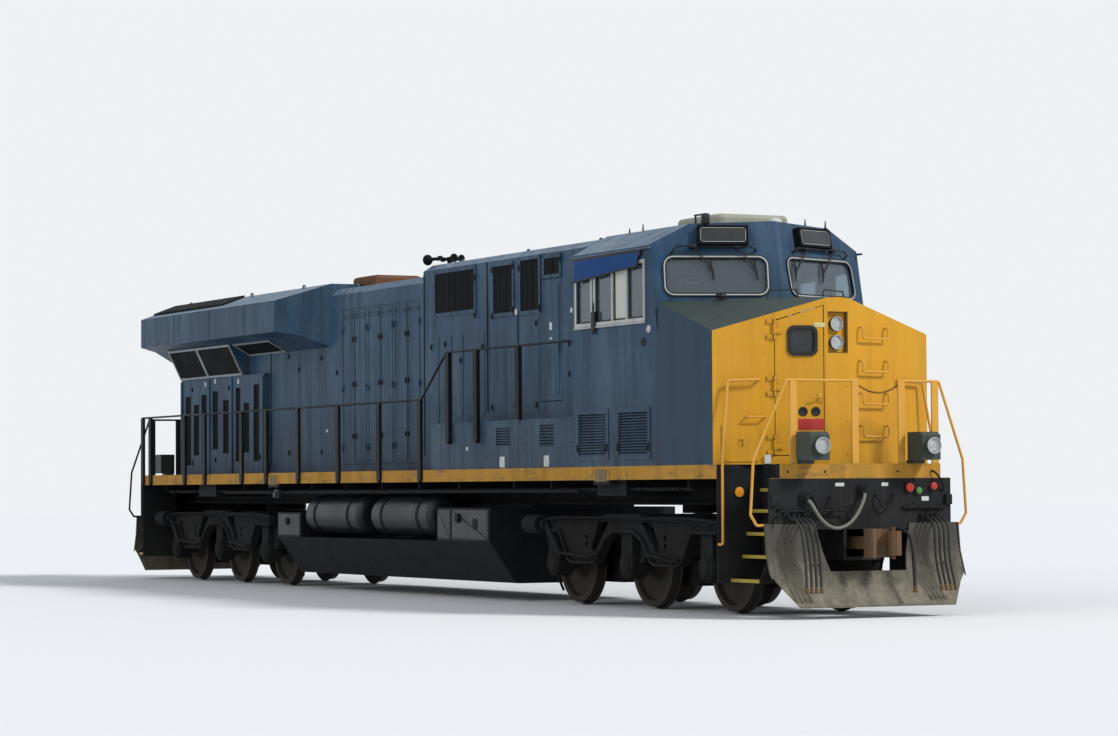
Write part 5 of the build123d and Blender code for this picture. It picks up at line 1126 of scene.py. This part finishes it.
def buildEndDiscs(end, name):
    for part, material, stem, rows in valves:
        bm = bmesh.new()
        for y, z, radius in rows:
            addLathe(bm, (end * endFace, end * y, z), (end, 0, 0),
                     [(0, 0), (0, radius * 0.4), (stem, radius * 0.4), (stem + 0.002, radius), (stem + 0.016, radius),
                      (stem + 0.020, radius * 0.8), (stem + 0.020, 0)], 20)
        keepPiece("%s_%s" % (name, part), bm, material)
    bm = bmesh.new()
    for y, z, width, height in endLabels:
        addPlate(bm, width, height, 0.004, 0.003,
                 framePlace(Vector((end * endFace, end * y, z)), Vector((0, end, 0)), upward, ahead * end))
    keepPiece(name + "_blank_end_labels", bm, "labelWhite")


def buildEndFittings(end, name):
    # Receptacle covers, hose valves, bolts, brackets and pipe clamps on the plate
    face, toward = end * endFace, (end, 0, 0)
    bm = bmesh.new()
    for y, z in ((-0.790, 1.380), (0, 1.460)):
        addLathe(bm, (end * 10.648, y, z), toward, receptacle, 20)
        addTube(bm, [(end * 10.652, y - 0.050, z + 0.056), (end * 10.700, y - 0.040, z + 0.070),
                     (end * 10.700, y + 0.040, z + 0.070), (end * 10.652, y + 0.050, z + 0.056)], 0.006)
    for y in hoses["places"]:
        addBlock(bm, (end * 10.640, y - 0.021, 1.166), (end * 10.680, y + 0.021, 1.196), 0.004)
        addTube(bm, [(end * 10.660, y, 1.190), (end * 10.664, y, 1.216), (end * 10.700, y + 0.030, 1.222)], 0.005)
    addBolts(bm, [(face, side * y, z) for side in sides for y in (0.35, 0.72, 1.12) for z in (1.330, 1.590)]
             + [(face, y, 1.690) for y in (-1.0, -0.5, 0.5, 1.0)], toward, 0.014, 0.010)
    addTube(bm, [(end * x, end * y, z) for x, y, z in ((10.640, 0.960, 1.696), (10.690, 1.000, 1.690),
                                                       (10.690, 1.123, 1.500), (10.640, 1.123, 1.467))], 0.011, True)
    for side in sides:
        addBlock(bm, (face, side * 1.150, 1.300), (end * 10.675, side * 1.235, 1.420), 0.006)
        addTube(bm, [(end * 10.655, side * 0.560, 1.268), (end * 10.655, side * 1.150, 1.268)], 0.016)
        for y in across(side * 0.560, side * 1.150, 4):
            addBlock(bm, (face, y - 0.016, 1.246), (end * 10.676, y + 0.016, 1.290), 0.003)
    keepPiece(name + "_end_fittings", bm, "frameBlack")
    bm = bmesh.new()
    for middle, z, drop in ((-0.560, 1.400, 0.190), (0.300, 1.420, 0.150)):
        loop = ((10.640, -0.12, 0), (10.690, -0.12, 0.02), (10.700, -0.06, drop), (10.700, 0.06, drop),
                (10.690, 0.12, 0.02), (10.640, 0.12, 0))
        addTube(bm, [(end * x, end * (middle + step), z - down) for x, step, down in loop], 0.012, True)
    keepPiece(name + "_pipe_loops", bm, "frameBlack")


def buildChain(end, name):
    # Safety chain between the middle posts, every second link turned on edge
    x, y, z = chain["start"]
    shares = [number / chain["links"] for number in range(chain["links"] + 1)]
    spots = [Vector((end * x, end * (y + chain["span"] * share), z - chain["sag"] * share * (1 - share)))
             for share in shares]
    bm = bmesh.new()
    for number, (first, last) in enumerate(zip(spots, spots[1:])):
        along = (last - first).normalized()
        flat = ahead if number % 2 else along.cross(ahead)
        wide = along.cross(flat).normalized() * chain["width"] / 2
        turns = [2 * math.pi * step / 12 for step in range(13)]
        addTube(bm, [(first + last) / 2 + along * (chain["length"] / 2 * math.cos(turn)) + wide * math.sin(turn)
                     for turn in turns], chain["wire"], False, 1)
    keepPiece(name + "_safety_chain", bm, "railBlack")


def buildTreads(end, name):
    # Yellow nosings, grip bars, bolts behind the treads and a lens in each step well
    nosings, grips, lenses = bmesh.new(), bmesh.new(), bmesh.new()
    for side in sides:
        for outer, z in treads["rows"]:
            addBlock(nosings, (end * 9.872, side * (outer - 0.040), z - 0.036),
                     (end * 10.514, side * (outer + 0.004), z + 0.004), 0.003)
            inner, lip = max(outer - 0.230, 0.902), outer - 0.045
            for y in across(inner, lip, max(1, round((lip - inner) / 0.035))):
                addBlock(grips, (end * 9.880, side * y - 0.005, z - 0.002),
                         (end * 10.508, side * y + 0.005, z + 0.007), 0.002)
        addBolts(grips, [(end * 10.535, side * y, z) for y, z in treads["bolts"]], (end, 0, 0), 0.011, 0.007)
        addLathe(lenses, (end * 9.890, side * 1.210, 1.460), (end, 0, 0), treads["lens"], 24)
    keepPiece(name + "_tread_nosings", nosings, "treadYellow")
    keepPiece(name + "_tread_grips", grips, "frameBlack")
    keepPiece(name + "_step_lamp_lenses", lenses, "lensAmber")


def buildPlowTrim(end, name):
    # Bolts on the plow, its rims and its lower bar
    bm = bmesh.new()
    for side in sides:
        spots = ([(0.062, y, 0.900) for y in (0.66, 0.74, 0.98, 1.06)]
                 + [(0.118, y + step, 0.620) for y in (0.700, 1.020) for step in (-0.04, 0.04)])
        addBolts(bm, [(end * (endFace + out), side * y, z) for out, y, z in spots], (end, 0, 0), 0.014, 0.010)
        addTube(bm, [(end * 10.655, side * 1.320, 1.085), (end * 10.692, side * 1.322, 0.760),
                     (end * 10.800, side * 1.322, 0.470)], 0.010)
    addTube(bm, [(end * 10.985, -1.050, 0.150), (end * 10.985, 1.050, 0.150)], 0.012)
    keepPiece(name + "_plow_trim", bm, "plowSteel")


# Under the sill: reservoir straps and pipes, tank panels, pad plates, gauges and conduits

tank = {"face": 1.421, "reservoirs": (-2.870, -0.400), "reservoirY": 1.127, "reservoirZ": 1.140, "strapRadius": 0.304,
        "straps": (0.410, 1.650), "bolts": (-3.84, -3.50, -3.03, 2.01, 2.55, 3.10, 3.56),
        "drain": ((0, 0.07), (0.010, 0.07), (0.014, 0.055), (0.030, 0.050), (0.034, 0.030), (0.036, 0)),
        "gauge": ((0, 0), (0, 0.055), (0.030, 0.055), (0.040, 0.046), (0.036, 0.040), (0.036, 0)),
        # Panels: width, height, corner, x, z
        "panels": ((0.840, 0.320, 0.015, -3.435, 0.990), (0.400, 0.400, 0.012, 2.20, 1.030),
                   (1.120, 0.400, 0.012, 3.02, 1.030)),
        "pads": (6.992, -3.880), "conduits": ((1.330, 1.505, 0.016), (1.280, 1.485, 0.012), (1.240, 1.500, 0.020))}


def buildTankPieces():
    straps, panels, plates, gauges, conduits = (bmesh.new() for piece in range(5))
    for side in sides:
        y, z, reach = tank["reservoirY"], tank["reservoirZ"], tank["strapRadius"]
        for start in tank["reservoirs"]:
            for along in tank["straps"]:
                addTube(straps, [(start + along, side * (y + reach * math.cos(turn)), z + reach * math.sin(turn))
                                 for turn in map(math.radians, range(-80, 100, 12))], 0.007, True)
            addLathe(straps, (start + 2.052, side * y, z), ahead, tank["drain"], 20)
            addTube(straps, [(start + 2.08, side * y, z), (start + 2.16, side * y, z + 0.010),
                             (start + 2.20, side * y, z + 0.160)], 0.020, True)
        sideBolts(straps, side, tank["face"], [(x, z) for x in tank["bolts"] for z in (0.86, 1.12)], 0.013, 0.009)
        for width, height, corner, x, z in tank["panels"]:
            addPlate(panels, width, height, corner, 0.010, sidePlace(x, side * tank["face"], z))
        for x in tank["pads"]:
            sideBolts(plates, side, 1.507, [(x + step, z) for step in (-0.13, 0.13) for z in (1.62, 1.72)],
                      0.018, 0.012)
            addPlate(plates, 0.300, 0.150, 0.010, 0.006, sidePlace(x, side * 1.507, 1.670))
        addLathe(gauges, (-3.88, side * 1.460, 1.445), (0, side, 0), tank["gauge"], 20)
        addBlock(gauges, (-3.95, side * 1.40, 1.39), (-3.81, side * 1.462, 1.53), 0.008)
        for y, z, radius in tank["conduits"]:
            addTube(conduits, [(-9.0, side * y, z), (9.0, side * y, z)], radius)
        for x in [-8.7 + number * 0.966 for number in range(19)]:
            addBlock(conduits, (x - 0.012, side * 1.22, 1.470), (x + 0.012, side * 1.36, 1.530), 0.003)
    keepPiece("reservoir_straps", straps, "tankBlack")
    keepPiece("tank_panels", panels, "panelGrey")
    keepPiece("jacking_pad_plates", plates, "padTan")
    keepPiece("tank_gauges", gauges, "panelGrey")
    keepPiece("sill_conduits", conduits, "frameBlack")


# Trucks: journal covers, coil springs over the boxes, sanding pipes and brake rods

truck = {"centre": 7.045, "axles": (-2.007, 0, 2.007), "axleHeight": 0.5615, "coverFace": 1.178,
         "cover": ((0, 0), (0, 0.165), (0.016, 0.165), (0.022, 0.150), (0.022, 0.118), (0.040, 0.110), (0.044, 0.090),
                   (0.044, 0)),
         "spring": {"out": 0.245, "y": 1.040, "radius": 0.070, "foot": 0.668, "rise": 0.0066, "steps": 41,
                    "wire": 0.013},
         # Rods along the frame: radius, smooth, points (x, y, z) from the truck's centre
         "rods": ((0.012, True, ((-1.95, 1.262, 1.135), (-0.9, 1.262, 1.150), (1.6, 1.262, 1.120),
                                 (2.25, 1.262, 1.060))),
                  (0.022, False, ((-1.70, 1.270, 0.690), (-0.86, 1.268, 0.640), (-0.60, 1.262, 0.700))),
                  (0.022, False, ((0.62, 1.262, 0.700), (1.30, 1.268, 0.620), (1.46, 1.262, 0.640)))),
         "sandPipe": ((0.30, 1.00, 1.14), (0.62, 0.98, 1.02), (0.70, 0.86, 0.66), (0.64, 0.77, 0.30),
                      (0.55, 0.755, 0.17)),
         "bolts": ([(x, 1.075) for x in (-2.28, -1.9, -0.2, 0.2, 1.9, 2.28)]
                   + [(x, 0.585) for x in (-1.3, -0.95, 0.95, 1.3)])}


def boltCircle(bm, side, x, face, radius, turns, boltRadius, height):
    spots = [(x + radius * math.cos(turn), truck["axleHeight"] + radius * math.sin(turn))
             for turn in map(math.radians, turns)]
    sideBolts(bm, side, face, spots, boltRadius, height)


def buildTruckPieces(end, name):
    spring, centre, body = truck["spring"], end * truck["centre"], name + "_truck"
    covers, coils, rigging = bmesh.new(), bmesh.new(), bmesh.new()
    for side in sides:
        for x in [centre + offset for offset in truck["axles"]]:
            addLathe(covers, (x, side * truck["coverFace"], truck["axleHeight"]), (0, side, 0), truck["cover"], 28)
            boltCircle(covers, side, x, 1.199, 0.135, range(30, 390, 60), 0.014, 0.012)
            boltCircle(covers, side, x, 1.221, 0.060, (0, 90, 180), 0.012, 0.010)
            for middle in (x - spring["out"], x + spring["out"]):
                turns = [(number, math.pi * number / 4) for number in range(spring["steps"])]
                addTube(coils, [(middle + spring["radius"] * math.cos(turn),
                                 side * spring["y"] + spring["radius"] * math.sin(turn),
                                 spring["foot"] + number * spring["rise"]) for number, turn in turns],
                        spring["wire"], False, 1)
        for way in (-1, 1):
            x = centre + way * truck["axles"][2]
            addTube(rigging, [(x + way * along, side * y, z) for along, y, z in truck["sandPipe"]], 0.018, True)
        for radius, smooth, points in truck["rods"]:
            addTube(rigging, [(centre + x, side * y, z) for x, y, z in points], radius, smooth)
        sideBolts(rigging, side, 1.250, [(centre + x, z) for x, z in truck["bolts"]], 0.020, 0.014)
    for part, bm in (("journal_covers", covers), ("coil_springs", coils), ("brake_rigging", rigging)):
        keepPiece("%s_%s" % (name, part), bm, "truckIron", body)


buildCamera()
buildLamps()
buildWorld()
buildFloor()
scene.view_settings.view_transform = "Standard"
dressNodes()
print("nodes dressed")
buildHoses()
print("hoses hung")
buildWindshields()
buildNoseTop()
buildNoseDoor()
print("nose and windshields fitted")
buildRoofPieces()
buildExhaust()
buildLampGlass()
print("roof and lamps fitted")
buildCabSides()
buildNumberBoards()
buildSeatPads()
print("cab fitted")
for side, name in sideNames.items():
    buildHoodFittings(side, name)
    buildScreens(side, name)
for side, name in sideNames.items():
    buildDoorLatches(side, name)
print("hoods fitted")
for end, name in endNames.items():
    buildEndDiscs(end, name)
    buildEndFittings(end, name)
    buildChain(end, name)
    buildTreads(end, name)
    buildPlowTrim(end, name)
print("platforms fitted")
buildTankPieces()
for end, name in endNames.items():
    buildTruckPieces(end, name)
print("tank and trucks fitted")

bpy.context.view_layer.update()
